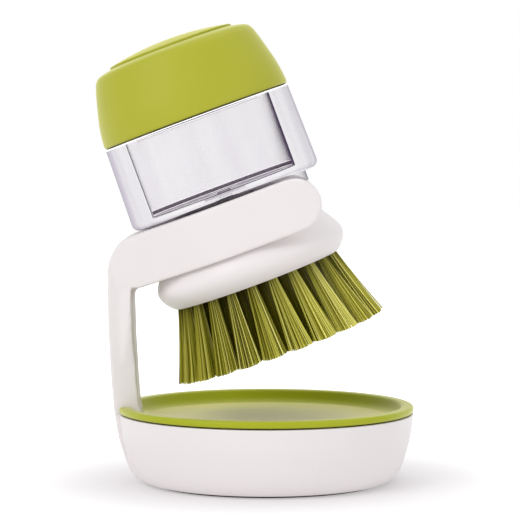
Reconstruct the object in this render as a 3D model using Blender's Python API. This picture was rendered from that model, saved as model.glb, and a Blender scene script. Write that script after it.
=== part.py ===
"""Palm dish brush with a soap tank and a pump button, hanging in its drip stand.

Metres, +Z up. The origin is the centre of the stand's foot pad, on the table. +X runs from the stand's post
to its open side. The brush leans back on its own axis, and its pieces are children of an empty on that axis,
where +Z runs up the brush and +X towards the tips of the cradle.
"""

import math

import bmesh
import bpy
from mathutils import Matrix, Vector

MM = 0.001

# Clearances, and the length by which a cutter runs past what it cuts
SEAT_GAP = 0.3 * MM
RUN_GAP = 0.4 * MM
OVERRUN = 2 * MM

# How finely round pieces are faceted
BIG_SIDES = 32
SMALL_SIDES = 18
ARC_STEPS = 5

# Stand: bowl
BOWL_RADIUS = 47.3 * MM
BOWL_HEIGHT = 22.3 * MM
BOWL_WALL = 2.2 * MM
BOWL_FLOOR = 2 * MM
BOWL_LIFT = 0.2 * MM
FOOT_MARGIN = 4 * MM
FOOT_THICKNESS = 1.5 * MM
# (radius, height) of the bowl's side, from its bottom edge to its rim
BOWL_SIDE_SHARES = ((0.782, 0), (0.846, 0.022), (0.884, 0.085), (0.914, 0.19), (0.94, 0.34), (0.981, 0.662), (1, 1))

# Stand: drip tray
TRAY_OVERHANG = 0.2 * MM
LIP_HEIGHT = 2.1 * MM
LIP_WIDTH = 4 * MM
LIP_START_ANGLE = -60
TRAY_DEPTH = 4.5 * MM
TRAY_FLOOR = 2 * MM
TRAY_DISH = 0.5 * MM
TRAY_WALL_LEAN = 1.2 * MM
NOTCH_RIM_WIDTH = 1.5 * MM
NOTCH_RIM_HEIGHT = 1.2 * MM

# Stand: post and cradle
POST_WIDTH = 15 * MM
POST_PROUD = 0.9 * MM
POST_DEPTH = 8.2 * MM
POST_STRAIGHT = 4 * MM
POST_BOW = 2.2 * MM
# (height, width) of the bow that both faces of the post follow, from its foot up
POST_BOW_SHARES = ((0, 0), (0.35, 0.5), (0.7, 0.85), (1, 1))
ELBOW_RADIUS = 13 * MM
ARMPIT_RADIUS = 3.3 * MM
CRADLE_THICKNESS = 16.5 * MM
CRADLE_TIP_BACK = 3.45 * MM
CRADLE_WAIST_STEP = 2.5 * MM
CRADLE_TANGENT = 127.5
EDGE_ROUND = 1.3 * MM
EDGE_STEPS = 2
TONGUE_SIDE = 2 * MM
TONGUE_THICKNESS = 2.6 * MM
TONGUE_DEPTH = 12 * MM
TONGUE_SKIN = 1.2 * MM

# Where the brush hangs: the middle of the cradle's top, which is the tank's radius less SEAT_TUCK in front of the
# post's inner face, and above the bowl's rim
SEAT_TUCK = 3.92 * MM
SEAT_RISE = 68.22 * MM
BRUSH_LEAN = 20.3

# Brush: outer shell of the tank
TANK_RADIUS = 31.45 * MM
TANK_TAPER = 0.6 * MM
TANK_HEIGHT = 27.6 * MM
TANK_WALL = 2.6 * MM
TANK_FLOOR = 2.2 * MM
TANK_CHAMFER = 3.5 * MM
SEAM_GAP = 0.45 * MM
RABBET_WIDTH = 1.1 * MM
RABBET_DEPTH = 1.4 * MM
COLLAR_STEP = 4.75 * MM
COLLAR_HEIGHT = 3.6 * MM
SPIGOT_STEP = 3.1 * MM
SPIGOT_WALL = 2 * MM
SPIGOT_LENGTH = 9.6 * MM
OUTLET_HOLE = 3.9 * MM
CLIP_HEIGHT = 2.4 * MM
CLIP_WALL = 1.2 * MM
LUGS = 3
LUG_REACH = 1.6 * MM
LUG_HEIGHT = 2 * MM
LUG_RISE = 2 * MM
LUG_ANGLE = 16
LOCK_TURN = 30
LUG_SLACK = 3

# Brush: inner cup that holds the soap
CUP_INSET = 7.15 * MM
CUP_WALL = 1.5 * MM
CUP_FLOOR = 1.2 * MM
CUP_FLANGE = 1.2 * MM
CUP_NECK_STEP = 2.3 * MM
CUP_NECK_WALL = 1.6 * MM
CUP_NECK_HEIGHT = 10.3 * MM
THREAD_PITCH = 4 * MM
THREAD_TURNS = 1.25
THREAD_REACH = 0.9 * MM
THREAD_ROOT = 1.5 * MM
THREAD_CREST = 0.6 * MM
THREAD_START = 1.7 * MM
THREAD_STEPS = 20
SPOUT_WALL = 1.2 * MM

# Brush: seals and valve under the tank
WASHER_RADIUS = 7 * MM
WASHER_THICKNESS = 0.8 * MM
VALVE_FLANGE_RADIUS = 9 * MM
VALVE_FLANGE_THICKNESS = 1.1 * MM
VALVE_NOZZLE_RADIUS = 3.2 * MM
VALVE_WALL = 0.9 * MM
VALVE_LENGTH = 5 * MM
VALVE_SLIT = 0.5 * MM
RETAINER_INSET = 5.6 * MM
RETAINER_FLOOR = 1.5 * MM
HEAD_SEAL_THICKNESS = 1.2 * MM
HEAD_SEAL_WIDTH = 2.4 * MM

# Brush: head and bristles
HEAD_INSET = 0.15 * MM
HEAD_HEIGHT = 23.7 * MM
NECK_LENGTH = 8 * MM
BACKING_THICKNESS = 1.5 * MM
HEAD_OUTLET = 4.1 * MM
HEAD_FUNNEL_STEP = 4.5 * MM
HEAD_FUNNEL_DEPTH = 2.6 * MM
# (radius, height) of the head's flare, from the neck's end to its flat bottom
FLARE_SHARES = ((0, 0), (0.087, 0.081), (0.228, 0.17), (0.457, 0.272), (0.728, 0.4), (0.902, 0.495), (1, 0.591),
                (0.978, 0.686), (0.848, 0.782), (0.663, 0.865), (0.457, 0.935), (0.196, 1))
ROSE_HOLES = 5
ROSE_HOLE_RADIUS = 0.6 * MM
ROSE_HOLE_SIDES = 6
BRISTLE_LENGTH = 23.1 * MM
BRISTLE_THICKNESS = 0.9 * MM
BRISTLE_ROOT = 0.7 * MM
TUFT_RADIUS = 1.15 * MM
TUFT_SPREAD = 2.75
TUFT_SIDES = 5
STRAND_SIDES = 3
# How far the outer ring's circle lies inside the head's edge at the roots, and how much wider it is at the tips
TUFT_INSET = 5.9 * MM
TUFT_FAN = 5.9 * MM
# Every ring's name, number of tufts, and share of the outer ring's circle
TUFT_RINGS = (("outer", 23, 1), ("middle", 17, 0.748), ("inner", 11, 0.492), ("core", 6, 0.26))

# Brush: cap, pump and button
CAP_INSET = 0.45 * MM
CAP_HEIGHT = 23.5 * MM
CAP_WALL = 2 * MM
# (radius, height) of the cap's side and shoulder, from its bottom edge up
CAP_SIDE_SHARES = ((0.97, 0), (1, 0.041), (0.992, 0.161), (0.974, 0.331), (0.945, 0.501), (0.913, 0.671),
                   (0.897, 0.756), (0.877, 0.841), (0.863, 0.884), (0.839, 0.927), (0.813, 0.952), (0.765, 0.973))
LINER_WALL = 1.7 * MM
LINER_DECK = 1.6 * MM
AIR_HOLE = 2.5 * MM
CAP_SEAL_THICKNESS = 1.2 * MM
CAP_SEAL_WIDTH = 2.5 * MM
CROWN_WIDTH = 10.5 * MM
BUTTON_RISE = 2.25 * MM
BUTTON_PROUD = 0.75 * MM
BUTTON_WALL = 1.6 * MM
BUTTON_FLANGE_WIDTH = 2.1 * MM
BUTTON_FLANGE = 1.2 * MM
BUTTON_EDGE = 0.3 * MM
# Radii at which the dome of the button is drawn
DOME_SHARES = (0.97, 0.85, 0.65, 0.35)
BELLOWS_RADIUS = 12 * MM
BELLOWS_FOLD = 2.6 * MM
BELLOWS_FOLDS = 2
BELLOWS_WALL = 0.9 * MM
BUTTON_SPIGOT_WALL = 1.4 * MM

# Levels on the brush's axis, from the seam under the cap
tank_top = -SEAM_GAP / 2
cap_bottom = SEAM_GAP / 2
tank_bottom = tank_top - TANK_HEIGHT
tank_floor_top = tank_bottom + TANK_FLOOR
collar_bottom = tank_bottom - COLLAR_HEIGHT
spigot_bottom = collar_bottom - SPIGOT_LENGTH
cradle_top = tank_bottom - SEAT_GAP
cradle_bottom = cradle_top - CRADLE_THICKNESS
head_top = collar_bottom - SEAT_GAP
head_bottom = head_top - HEAD_HEIGHT
flare_top = head_top - NECK_LENGTH
backing_top = head_bottom + BACKING_THICKNESS
bristle_tips = head_bottom - BRISTLE_LENGTH
flange_bottom = tank_top - RABBET_DEPTH + SEAT_GAP
flange_top = flange_bottom + CUP_FLANGE
neck_top = flange_top + CUP_NECK_HEIGHT
cup_bottom = tank_floor_top + SEAT_GAP
cap_seal_bottom = neck_top + SEAT_GAP
liner_ceiling = cap_seal_bottom + CAP_SEAL_THICKNESS + SEAT_GAP
liner_top = liner_ceiling + LINER_DECK
cap_top = cap_bottom + CAP_HEIGHT
cap_ceiling = cap_top - CAP_WALL

# Radii that follow from the tank's, and from what fits inside what
collar_radius = TANK_RADIUS - COLLAR_STEP
spigot_radius = collar_radius - SPIGOT_STEP
cup_radius = TANK_RADIUS - CUP_INSET
neck_radius = cup_radius - CUP_NECK_STEP
head_radius = TANK_RADIUS - HEAD_INSET
tuft_circle = head_radius - TUFT_INSET
cap_radius = TANK_RADIUS - CAP_INSET
button_radius = cap_radius - CROWN_WIDTH
slot_radius = collar_radius + RUN_GAP
head_bore = spigot_radius + RUN_GAP
spigot_bore = spigot_radius - SPIGOT_WALL
retainer_radius = spigot_bore - RETAINER_INSET
funnel_radius = head_bore - HEAD_FUNNEL_STEP
cradle_reach = TANK_RADIUS - CRADLE_TIP_BACK
tank_bore = TANK_RADIUS - TANK_WALL
thread_clear = neck_radius + THREAD_REACH + RUN_GAP
liner_radius = thread_clear + LINER_WALL
button_hole = button_radius + RUN_GAP

# The stand's levels, and its radii that follow from the bowl's
recess_roof = FOOT_THICKNESS + SEAT_GAP
bowl_floor_top = recess_roof + BOWL_FLOOR
tray_rest = BOWL_HEIGHT + SEAT_GAP
lip_top = tray_rest + LIP_HEIGHT
tray_floor_top = lip_top - TRAY_DEPTH
tray_bottom = tray_floor_top - TRAY_FLOOR
foot_radius = BOWL_SIDE_SHARES[0][0] * BOWL_RADIUS - FOOT_MARGIN
tray_radius = BOWL_RADIUS + TRAY_OVERHANG
post_outer = BOWL_RADIUS + POST_PROUD
post_inner = post_outer - POST_DEPTH
tongue_width = POST_WIDTH - 2 * TONGUE_SIDE
cradle_waist = POST_WIDTH / 2 - CRADLE_WAIST_STEP

lean = math.radians(BRUSH_LEAN)
axis_up = Vector((-math.sin(lean), 0, math.cos(lean)))
axis_out = Vector((math.cos(lean), 0, math.sin(lean)))
seat = Vector((-post_inner + TANK_RADIUS - SEAT_TUCK, 0, BOWL_HEIGHT + SEAT_RISE))
axis_start = seat - axis_up * cradle_top


def paint(name, colour, roughness, metallic=0.0, transmission=0.0):
    """A Principled material of one colour."""
    material = bpy.data.materials.new(name)
    material.use_nodes = True
    shader = material.node_tree.nodes["Principled BSDF"]
    shader.inputs["Base Color"].default_value = (*colour, 1)
    shader.inputs["Roughness"].default_value = roughness
    shader.inputs["Metallic"].default_value = metallic
    shader.inputs["Transmission Weight"].default_value = transmission
    material.diffuse_color = (*colour, 1)
    return material


def add_object(name, mesh_builder, materials, parent=None):
    """Makes the finished bmesh an object, with its faces pointing out and its curved sides smooth."""
    bmesh.ops.recalc_face_normals(mesh_builder, faces=mesh_builder.faces)
    mesh = bpy.data.meshes.new(name)
    mesh_builder.to_mesh(mesh)
    mesh_builder.free()
    for material in materials:
        mesh.materials.append(material)
    mesh.shade_smooth()
    mesh.set_sharp_from_angle(angle=math.radians(35))
    made = bpy.data.objects.new(name, mesh)
    bpy.context.scene.collection.objects.link(made)
    made.parent = parent
    return made


def combine(target, tool, operation):
    """Joins the tool to the target, or cuts it away, and keeps the tool out of the model."""
    modifier = target.modifiers.new(f"{operation.lower()} {tool.name}", "BOOLEAN")
    modifier.operation = operation
    modifier.solver = "EXACT"
    modifier.object = tool
    tool.hide_render = True
    tool.display_type = "WIRE"


def arc(centre, radius, start, end, steps=ARC_STEPS):
    """Points of an arc about centre, from one angle in degrees to another."""
    angles = [math.radians(start + (end - start) * step / steps) for step in range(steps + 1)]
    return [(centre[0] + radius * math.cos(angle), centre[1] + radius * math.sin(angle)) for angle in angles]


def spun(outline, sides):
    """A bmesh turned about Z from (radius, height) points, whose ends lie on the axis or meet each other."""
    builder = bmesh.new()
    corners = [builder.verts.new((radius, 0, height)) for radius, height in outline]
    edges = [builder.edges.new(pair) for pair in zip(corners, corners[1:])]
    if outline[0][0] > 0:
        edges.append(builder.edges.new((corners[-1], corners[0])))
    bmesh.ops.spin(
        builder, geom=corners + edges, cent=(0, 0, 0), axis=(0, 0, 1), angle=math.tau, steps=sides, use_merge=True
    )
    bmesh.ops.remove_doubles(builder, verts=builder.verts, dist=MM / 1000)
    return builder


def turned(name, outline, materials, parent=None, sides=BIG_SIDES):
    return add_object(name, spun(outline, sides), materials, parent)


def extruded(outline, low, high):
    """A bmesh that fills the outline of (x, y) points from one height to another."""
    builder = bmesh.new()
    face = builder.faces.new([builder.verts.new((x, y, low)) for x, y in outline])
    top = bmesh.ops.extrude_face_region(builder, geom=[face])["geom"]
    bmesh.ops.translate(builder, vec=(0, 0, high - low), verts=[v for v in top if isinstance(v, bmesh.types.BMVert)])
    return builder


def side_plate(name, outline, half_width, materials):
    """A solid with this (x, z) outline seen from the front, as wide along Y as twice half_width."""
    builder = extruded(outline, -half_width, half_width)
    bmesh.ops.transform(builder, matrix=Matrix.Rotation(math.pi / 2, 4, "X"), verts=builder.verts)
    return add_object(name, builder, materials)


def block(name, low, high, materials, parent=None):
    """A box between two corners."""
    corners = [(low[0], low[1]), (high[0], low[1]), (high[0], high[1]), (low[0], high[1])]
    return add_object(name, extruded(corners, low[2], high[2]), materials, parent)


def wrapped(name, cells, inner, outer, materials, parent, copies=1):
    """Solids wrapped round Z between two radii, repeated evenly. Each cell is (angle, angle, height, height)."""
    builder = bmesh.new()
    for copy in range(copies):
        corners = {}
        faces = []
        for first, last, low, high in cells:
            loop = []
            for angle, height in ((first, low), (last, low), (last, high), (first, high)):
                if (angle, height) not in corners:
                    turn = math.radians(angle + 360 * copy / copies)
                    corners[angle, height] = builder.verts.new(
                        (inner * math.cos(turn), inner * math.sin(turn), height)
                    )
                loop.append(corners[angle, height])
            faces.append(builder.faces.new(loop))
        raised = bmesh.ops.extrude_face_region(builder, geom=faces)["geom"]
        for vert in raised:
            if isinstance(vert, bmesh.types.BMVert):
                vert.co.x *= outer / inner
                vert.co.y *= outer / inner
    return add_object(name, builder, materials, parent)


def thread(name, radius, reach, start, turns, materials, parent):
    """A ridge that climbs round Z. Its root is sunk into the wall by half of its reach."""
    builder = bmesh.new()
    steps = round(THREAD_STEPS * turns)
    root = radius - reach / 2
    crest = radius + reach
    section = ((root, -THREAD_ROOT / 2), (crest, -THREAD_CREST / 2), (crest, THREAD_CREST / 2), (root, THREAD_ROOT / 2))
    rings = []
    for step in range(steps + 1):
        turn = math.tau * turns * step / steps
        rise = start + THREAD_PITCH * turns * step / steps
        rings.append([builder.verts.new((r * math.cos(turn), r * math.sin(turn), rise + h)) for r, h in section])
    for low, high in zip(rings, rings[1:]):
        for corner in range(len(section)):
            after = (corner + 1) % len(section)
            builder.faces.new((low[corner], low[after], high[after], high[corner]))
    builder.faces.new(rings[0])
    builder.faces.new(rings[-1])
    return add_object(name, builder, materials, parent)


def bowl_radius_at(height):
    """Outer radius of the bowl's side at a height."""
    points = [(radius * BOWL_RADIUS, BOWL_LIFT + rise * (BOWL_HEIGHT - BOWL_LIFT)) for radius, rise in BOWL_SIDE_SHARES]
    for (low_radius, low), (high_radius, high) in zip(points, points[1:]):
        if height <= high:
            return low_radius + (high_radius - low_radius) * (height - low) / (high - low)
    return BOWL_RADIUS


def head_outline():
    """(radius, height) points of the head's flare, from the neck's end to the flat bottom."""
    widening = head_radius - collar_radius
    drop = flare_top - head_bottom
    return [(collar_radius + radius * widening, flare_top - fall * drop) for radius, fall in FLARE_SHARES]


def head_radius_at(height):
    points = head_outline()
    for (high_radius, high), (low_radius, low) in zip(points, points[1:]):
        if low <= height:
            return low_radius + (high_radius - low_radius) * (height - low) / (high - low)
    return points[-1][0]


def cap_side():
    """(radius, height) points of the cap's side and shoulder, from its bottom edge up."""
    return [(cap_radius * radius, cap_bottom + CAP_HEIGHT * rise) for radius, rise in CAP_SIDE_SHARES]


def cap_side_at(height):
    points = cap_side()
    for (low_radius, low), (high_radius, high) in zip(points, points[1:]):
        if height <= high:
            return low_radius + (high_radius - low_radius) * (height - low) / (high - low)
    return points[-1][0]


for old in list(bpy.data.objects):
    bpy.data.objects.remove(old)

white_plastic = paint("white plastic", (0.84, 0.81, 0.81), 0.35)
green_plastic = paint("green plastic", (0.46, 0.50, 0.04), 0.4)
tray_green = paint("tray green plastic", (0.42, 0.55, 0.03), 0.3)
clear_plastic = paint("clear plastic", (0.93, 0.93, 0.97), 0.05, transmission=0.9)
silicone = paint("grey silicone", (0.35, 0.35, 0.36), 0.6)
olive_plastic = paint("olive plastic", (0.12, 0.13, 0.03), 0.5)
dark_rubber = paint("dark rubber", (0.05, 0.05, 0.05), 0.8)
bristle_green = paint("bristle nylon", (0.36, 0.36, 0.05), 0.45)

brush_axis = bpy.data.objects.new("brush_axis", None)
brush_axis.location = axis_start
brush_axis.rotation_euler = (0, -lean, 0)
bpy.context.scene.collection.objects.link(brush_axis)


def build_bowl():
    """The white bowl, with a boss inside its rim that takes the post's tongue."""
    side = [(radius * BOWL_RADIUS, BOWL_LIFT + rise * (BOWL_HEIGHT - BOWL_LIFT)) for radius, rise in BOWL_SIDE_SHARES]
    inside = [(radius - BOWL_WALL, height) for radius, height in side if height > bowl_floor_top + BOWL_WALL]
    foot_edge = foot_radius + SEAT_GAP
    floor_edge = bowl_radius_at(bowl_floor_top) - 2 * BOWL_WALL
    outline = [(0, recess_roof), (foot_edge, recess_roof), (foot_edge, BOWL_LIFT), *side]
    outline += [*reversed(inside), (floor_edge, bowl_floor_top), (0, bowl_floor_top)]
    bowl = turned("base_bowl", outline, [white_plastic])

    proud = POST_PROUD - SEAT_GAP
    levels = [BOWL_LIFT + rise * (BOWL_HEIGHT - BOWL_LIFT) for _, rise in BOWL_SIDE_SHARES[3:]]
    face = [(-bowl_radius_at(level) - proud * level / BOWL_HEIGHT, level) for level in levels]
    boss_inner = -post_inner
    boss_outline = [*face, (boss_inner, BOWL_HEIGHT), (boss_inner, levels[0])]
    combine(bowl, side_plate("post boss", boss_outline, POST_WIDTH / 2, [white_plastic]), "UNION")
    combine(bowl, tongue_box("pocket", RUN_GAP, TONGUE_DEPTH), "DIFFERENCE")


def tongue_box(name, grow, depth):
    """The tongue under the post, or with grow the pocket that it drops into."""
    inner = -post_inner - TONGUE_SKIN - RUN_GAP
    low = (inner - TONGUE_THICKNESS - grow, -tongue_width / 2 - grow, BOWL_HEIGHT - depth)
    high = (inner + grow, tongue_width / 2 + grow, BOWL_HEIGHT + OVERRUN)
    return block(name, low, high, [white_plastic])


def build_foot():
    outline = [(0, 0), (foot_radius, 0), (foot_radius, FOOT_THICKNESS), (0, FOOT_THICKNESS)]
    turned("foot_pad", outline, [dark_rubber])


def build_tray():
    """The green tray that lies on the bowl's rim, notched round the post."""
    tray_wall_radius = bowl_radius_at(tray_bottom) - BOWL_WALL - RUN_GAP
    lip_round = LIP_HEIGHT / 2
    lip_inner = tray_radius - LIP_WIDTH
    floor_edge = lip_inner - TRAY_WALL_LEAN
    lip = arc((tray_radius - lip_round, tray_rest + lip_round), lip_round, LIP_START_ANGLE, 90)
    inner_edge = [(lip_inner + lip_round, lip_top), (lip_inner, lip_top - lip_round / 2)]
    outline = [(0, tray_bottom), (tray_wall_radius - TRAY_FLOOR, tray_bottom)]
    outline += [(tray_wall_radius, tray_bottom + TRAY_FLOOR), (tray_wall_radius, tray_rest), *lip, *inner_edge]
    outline += [(floor_edge, tray_floor_top), (0, tray_floor_top - TRAY_DISH)]
    tray = turned("drip_tray", outline, [tray_green])

    notch_half = POST_WIDTH / 2 + RUN_GAP
    notch_end = -post_inner + RUN_GAP
    rim_half = notch_half + NOTCH_RIM_WIDTH
    rim_outer = math.sqrt(tray_wall_radius**2 - rim_half**2)
    rim_low = (-rim_outer, -rim_half, tray_bottom)
    rim_high = (notch_end + NOTCH_RIM_WIDTH, rim_half, tray_floor_top + NOTCH_RIM_HEIGHT)
    combine(tray, block("notch rim", rim_low, rim_high, [tray_green]), "UNION")
    notch_low = (-tray_radius - OVERRUN, -notch_half, tray_bottom - OVERRUN)
    notch_high = (notch_end, notch_half, lip_top + OVERRUN)
    combine(tray, block("notch", notch_low, notch_high, [tray_green]), "DIFFERENCE")


def on_axis(out, up):
    """World (x, z) of a point in the brush's own plane."""
    place = axis_start + axis_out * out + axis_up * up
    return place.x, place.z


def filleted(before, corner, after, radius):
    """Points of an arc that rounds a corner of an outline."""
    start = Vector(before) - Vector(corner)
    end = Vector(after) - Vector(corner)
    half = start.angle(end) / 2
    middle = Vector(corner) + (start.normalized() + end.normalized()).normalized() * radius / math.sin(half)
    first = Vector(corner) + start.normalized() * radius / math.tan(half) - middle
    last = Vector(corner) + end.normalized() * radius / math.tan(half) - middle
    turn = first.angle_signed(last)
    steps = ARC_STEPS + 1
    points = []
    for step in range(steps + 1):
        angle = -turn * step / steps
        points.append(tuple(middle + Matrix.Rotation(angle, 2) @ first))
    return points


def arm_outlines():
    """The arm seen from the front: all of it with its bowed post, and its cradle alone.

    The cradle alone shares its points with the whole, but behind the armpit its underside rises into the post.
    """
    def where_post_meets(x, up):
        """Point of the cradle's top or bottom plane above the post's face at x."""
        out = (x - axis_start.x - axis_up.x * up) / axis_out.x
        return on_axis(out, up)

    elbow = where_post_meets(-post_outer - POST_BOW, cradle_top)
    armpit = where_post_meets(-post_inner - POST_BOW, cradle_bottom)
    foot = BOWL_HEIGHT - OVERRUN
    bow_height = armpit[1] - POST_STRAIGHT - foot
    bow = [(POST_BOW * width, foot + bow_height * rise) for rise, width in POST_BOW_SHARES]
    outer = [(-post_outer - out, height) for out, height in bow]
    inner = [(-post_inner - out, height) for out, height in bow]
    half = CRADLE_THICKNESS / 2
    tip = arc((cradle_reach - half, cradle_top - half), half, 90, -90, 2 * ARC_STEPS)
    tip = [on_axis(out, up) for out, up in tip]
    above = filleted(outer[-1], elbow, tip[0], ELBOW_RADIUS)
    below = filleted(tip[-1], armpit, inner[-1], ARMPIT_RADIUS)
    behind = (outer[-1][0], below[0][1])
    return [*outer, *above, *tip, *below, *reversed(inner)], [behind, *above, *tip, below[0]]


def cradle_plan():
    """The cradle seen along the brush's axis: a ring open at the front that narrows to the post."""
    start = math.radians(CRADLE_TANGENT)
    waist_out = (TANK_RADIUS - cradle_waist * math.sin(start)) / math.cos(start)
    side = [(cradle_reach + OVERRUN, TANK_RADIUS), *arc((0, 0), TANK_RADIUS, 90, CRADLE_TANGENT, 2 * ARC_STEPS)]
    side.append((waist_out, cradle_waist))
    return [*side, *((out, -across) for out, across in reversed(side))]


def slot_tool():
    """The space that the brush's neck slides in, with room below for the head's flare."""
    below = cradle_bottom - OVERRUN
    flare = head_radius_at(cradle_bottom) + RUN_GAP
    widening = (flare - slot_radius) / (flare_top - cradle_bottom)
    levels = [
        (cradle_top + OVERRUN, slot_radius),
        (flare_top, slot_radius),
        (below, slot_radius + widening * (flare_top - below)),
    ]
    builder = bmesh.new()
    rings = []
    for level, radius in levels:
        back = arc((0, 0), radius, 90, 270, 4 * ARC_STEPS)
        loop = [(cradle_reach + CRADLE_THICKNESS, radius), *back, (cradle_reach + CRADLE_THICKNESS, -radius)]
        rings.append([builder.verts.new((x, y, level)) for x, y in loop])
    for upper, lower in zip(rings, rings[1:]):
        for index in range(len(upper)):
            builder.faces.new((upper[index - 1], upper[index], lower[index], lower[index - 1]))
    builder.faces.new(rings[0])
    builder.faces.new(rings[-1])
    return add_object("cradle slot", builder, [white_plastic], brush_axis)


def build_arm():
    """The post and the cradle in one moulding."""
    whole, cradle_alone = arm_outlines()
    arm = side_plate("cradle_arm", whole, POST_WIDTH / 2, [white_plastic])
    cradle = side_plate("cradle", cradle_alone, TANK_RADIUS + OVERRUN, [white_plastic])
    plan = extruded(cradle_plan(), cradle_bottom - OVERRUN, cradle_top + OVERRUN)
    combine(cradle, add_object("cradle plan", plan, [white_plastic], brush_axis), "INTERSECT")
    combine(arm, cradle, "UNION")
    combine(arm, slot_tool(), "DIFFERENCE")
    rounding = arm.modifiers.new("edges", "BEVEL")
    rounding.width = EDGE_ROUND
    rounding.segments = EDGE_STEPS
    rounding.limit_method = "ANGLE"
    rounding.angle_limit = math.radians(50)
    seam_low = (-post_outer - ELBOW_RADIUS, -POST_WIDTH, 0)
    seam_high = (0, POST_WIDTH, tray_rest)
    combine(arm, block("post seam", seam_low, seam_high, [white_plastic]), "DIFFERENCE")
    combine(arm, tongue_box("tongue", 0, TONGUE_DEPTH - SEAT_GAP), "UNION")


def build_tank():
    """The clear outer shell, with the collar that the cradle holds and the spigot that locks the head."""
    clip_inner = retainer_radius + SEAT_GAP
    clip_bottom = tank_bottom - CLIP_HEIGHT
    washer_seat = WASHER_RADIUS + SEAT_GAP
    washer_level = cup_bottom - 2 * SEAT_GAP - WASHER_THICKNESS
    ledge = tank_top - RABBET_DEPTH
    chamfer = arc((TANK_RADIUS - TANK_CHAMFER, tank_bottom + TANK_CHAMFER), TANK_CHAMFER, 0, -90, 4)
    outline = [(tank_bore + RABBET_WIDTH, tank_top), (TANK_RADIUS - TANK_TAPER, tank_top), *chamfer]
    outline += [(collar_radius, tank_bottom), (collar_radius, collar_bottom), (spigot_radius, collar_bottom)]
    outline += [(spigot_radius, spigot_bottom), (spigot_bore, spigot_bottom), (spigot_bore, tank_bottom)]
    outline += [(clip_inner + CLIP_WALL, tank_bottom), (clip_inner + CLIP_WALL, clip_bottom)]
    outline += [(clip_inner, clip_bottom), (clip_inner, tank_bottom), (OUTLET_HOLE, tank_bottom)]
    outline += [(OUTLET_HOLE, washer_level), (washer_seat, washer_level), (washer_seat, tank_floor_top)]
    outline += [(tank_bore, tank_floor_top), (tank_bore, ledge), (tank_bore + RABBET_WIDTH, ledge)]
    tank = turned("tank_shell", outline, [clear_plastic], brush_axis)

    low = spigot_bottom + LUG_RISE
    steps = (-LUG_ANGLE / 2, 0, LUG_ANGLE / 2)
    cells = [(first, last, low, low + LUG_HEIGHT) for first, last in zip(steps, steps[1:])]
    inner = spigot_radius - SPIGOT_WALL / 2
    lugs = wrapped("lugs", cells, inner, spigot_radius + LUG_REACH, [clear_plastic], brush_axis, LUGS)
    combine(tank, lugs, "UNION")


def build_cup():
    """The clear inner cup that holds the soap: flange, threaded neck and outlet spout in one."""
    inner = cup_radius - CUP_WALL
    neck_inner = neck_radius - CUP_NECK_WALL
    spout = OUTLET_HOLE - RUN_GAP
    flange_edge = tank_bore + RABBET_WIDTH - SEAT_GAP
    floor_top = cup_bottom + CUP_FLOOR
    outline = [(spout - SPOUT_WALL, tank_bottom), (spout, tank_bottom), (spout, cup_bottom)]
    outline += [(cup_radius, cup_bottom), (cup_radius, flange_bottom), (flange_edge, flange_bottom)]
    outline += [(flange_edge, flange_top), (neck_radius, flange_top), (neck_radius, neck_top)]
    outline += [(neck_inner, neck_top), (neck_inner, flange_bottom), (inner, flange_bottom - CUP_WALL)]
    outline += [(inner, floor_top), (spout - SPOUT_WALL, floor_top)]
    cup = turned("reservoir_cup", outline, [clear_plastic], brush_axis)
    start = flange_top + THREAD_START
    ridge = thread("neck thread", neck_radius, THREAD_REACH, start, THREAD_TURNS, [clear_plastic], brush_axis)
    combine(cup, ridge, "UNION")


def ring(name, inner, outer, low, high, material):
    """A flat ring on the brush's axis, such as a washer."""
    outline = [(inner, low), (outer, low), (outer, high), (inner, high)]
    return turned(name, outline, [material], brush_axis, SMALL_SIDES)


def build_outlet():
    """What closes the tank at the bottom: washer, slit valve, and the olive disc that holds the valve."""
    washer_bottom = cup_bottom - SEAT_GAP - WASHER_THICKNESS
    ring("outlet_washer", OUTLET_HOLE, WASHER_RADIUS, washer_bottom, cup_bottom - SEAT_GAP, silicone)

    top = tank_bottom - SEAT_GAP
    tip = top - VALVE_LENGTH
    under_flange = top - VALVE_FLANGE_THICKNESS
    bore = VALVE_NOZZLE_RADIUS - VALVE_WALL
    outline = [(0, tip + VALVE_WALL), (bore, tip + 2 * VALVE_WALL), (bore, top), (VALVE_FLANGE_RADIUS, top)]
    outline += [(VALVE_FLANGE_RADIUS, under_flange), (VALVE_NOZZLE_RADIUS, under_flange)]
    outline += [(VALVE_NOZZLE_RADIUS, tip + VALVE_WALL), (bore, tip), (0, tip)]
    valve = turned("outlet_valve", outline, [silicone], brush_axis, SMALL_SIDES)
    slit_low = (-bore / 2, -VALVE_SLIT / 2, tip - OVERRUN)
    slit_high = (bore / 2, VALVE_SLIT / 2, tip + 2 * VALVE_WALL)
    combine(valve, block("valve slit", slit_low, slit_high, [silicone], brush_axis), "DIFFERENCE")

    shelf = under_flange - SEAT_GAP
    hole = VALVE_NOZZLE_RADIUS + RUN_GAP
    pocket = VALVE_FLANGE_RADIUS + RUN_GAP
    outline = [(hole, shelf), (pocket, shelf), (pocket, top), (retainer_radius, top)]
    outline += [(retainer_radius, shelf - RETAINER_FLOOR), (hole, shelf - RETAINER_FLOOR)]
    turned("valve_retainer", outline, [olive_plastic], brush_axis, SMALL_SIDES)


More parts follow.
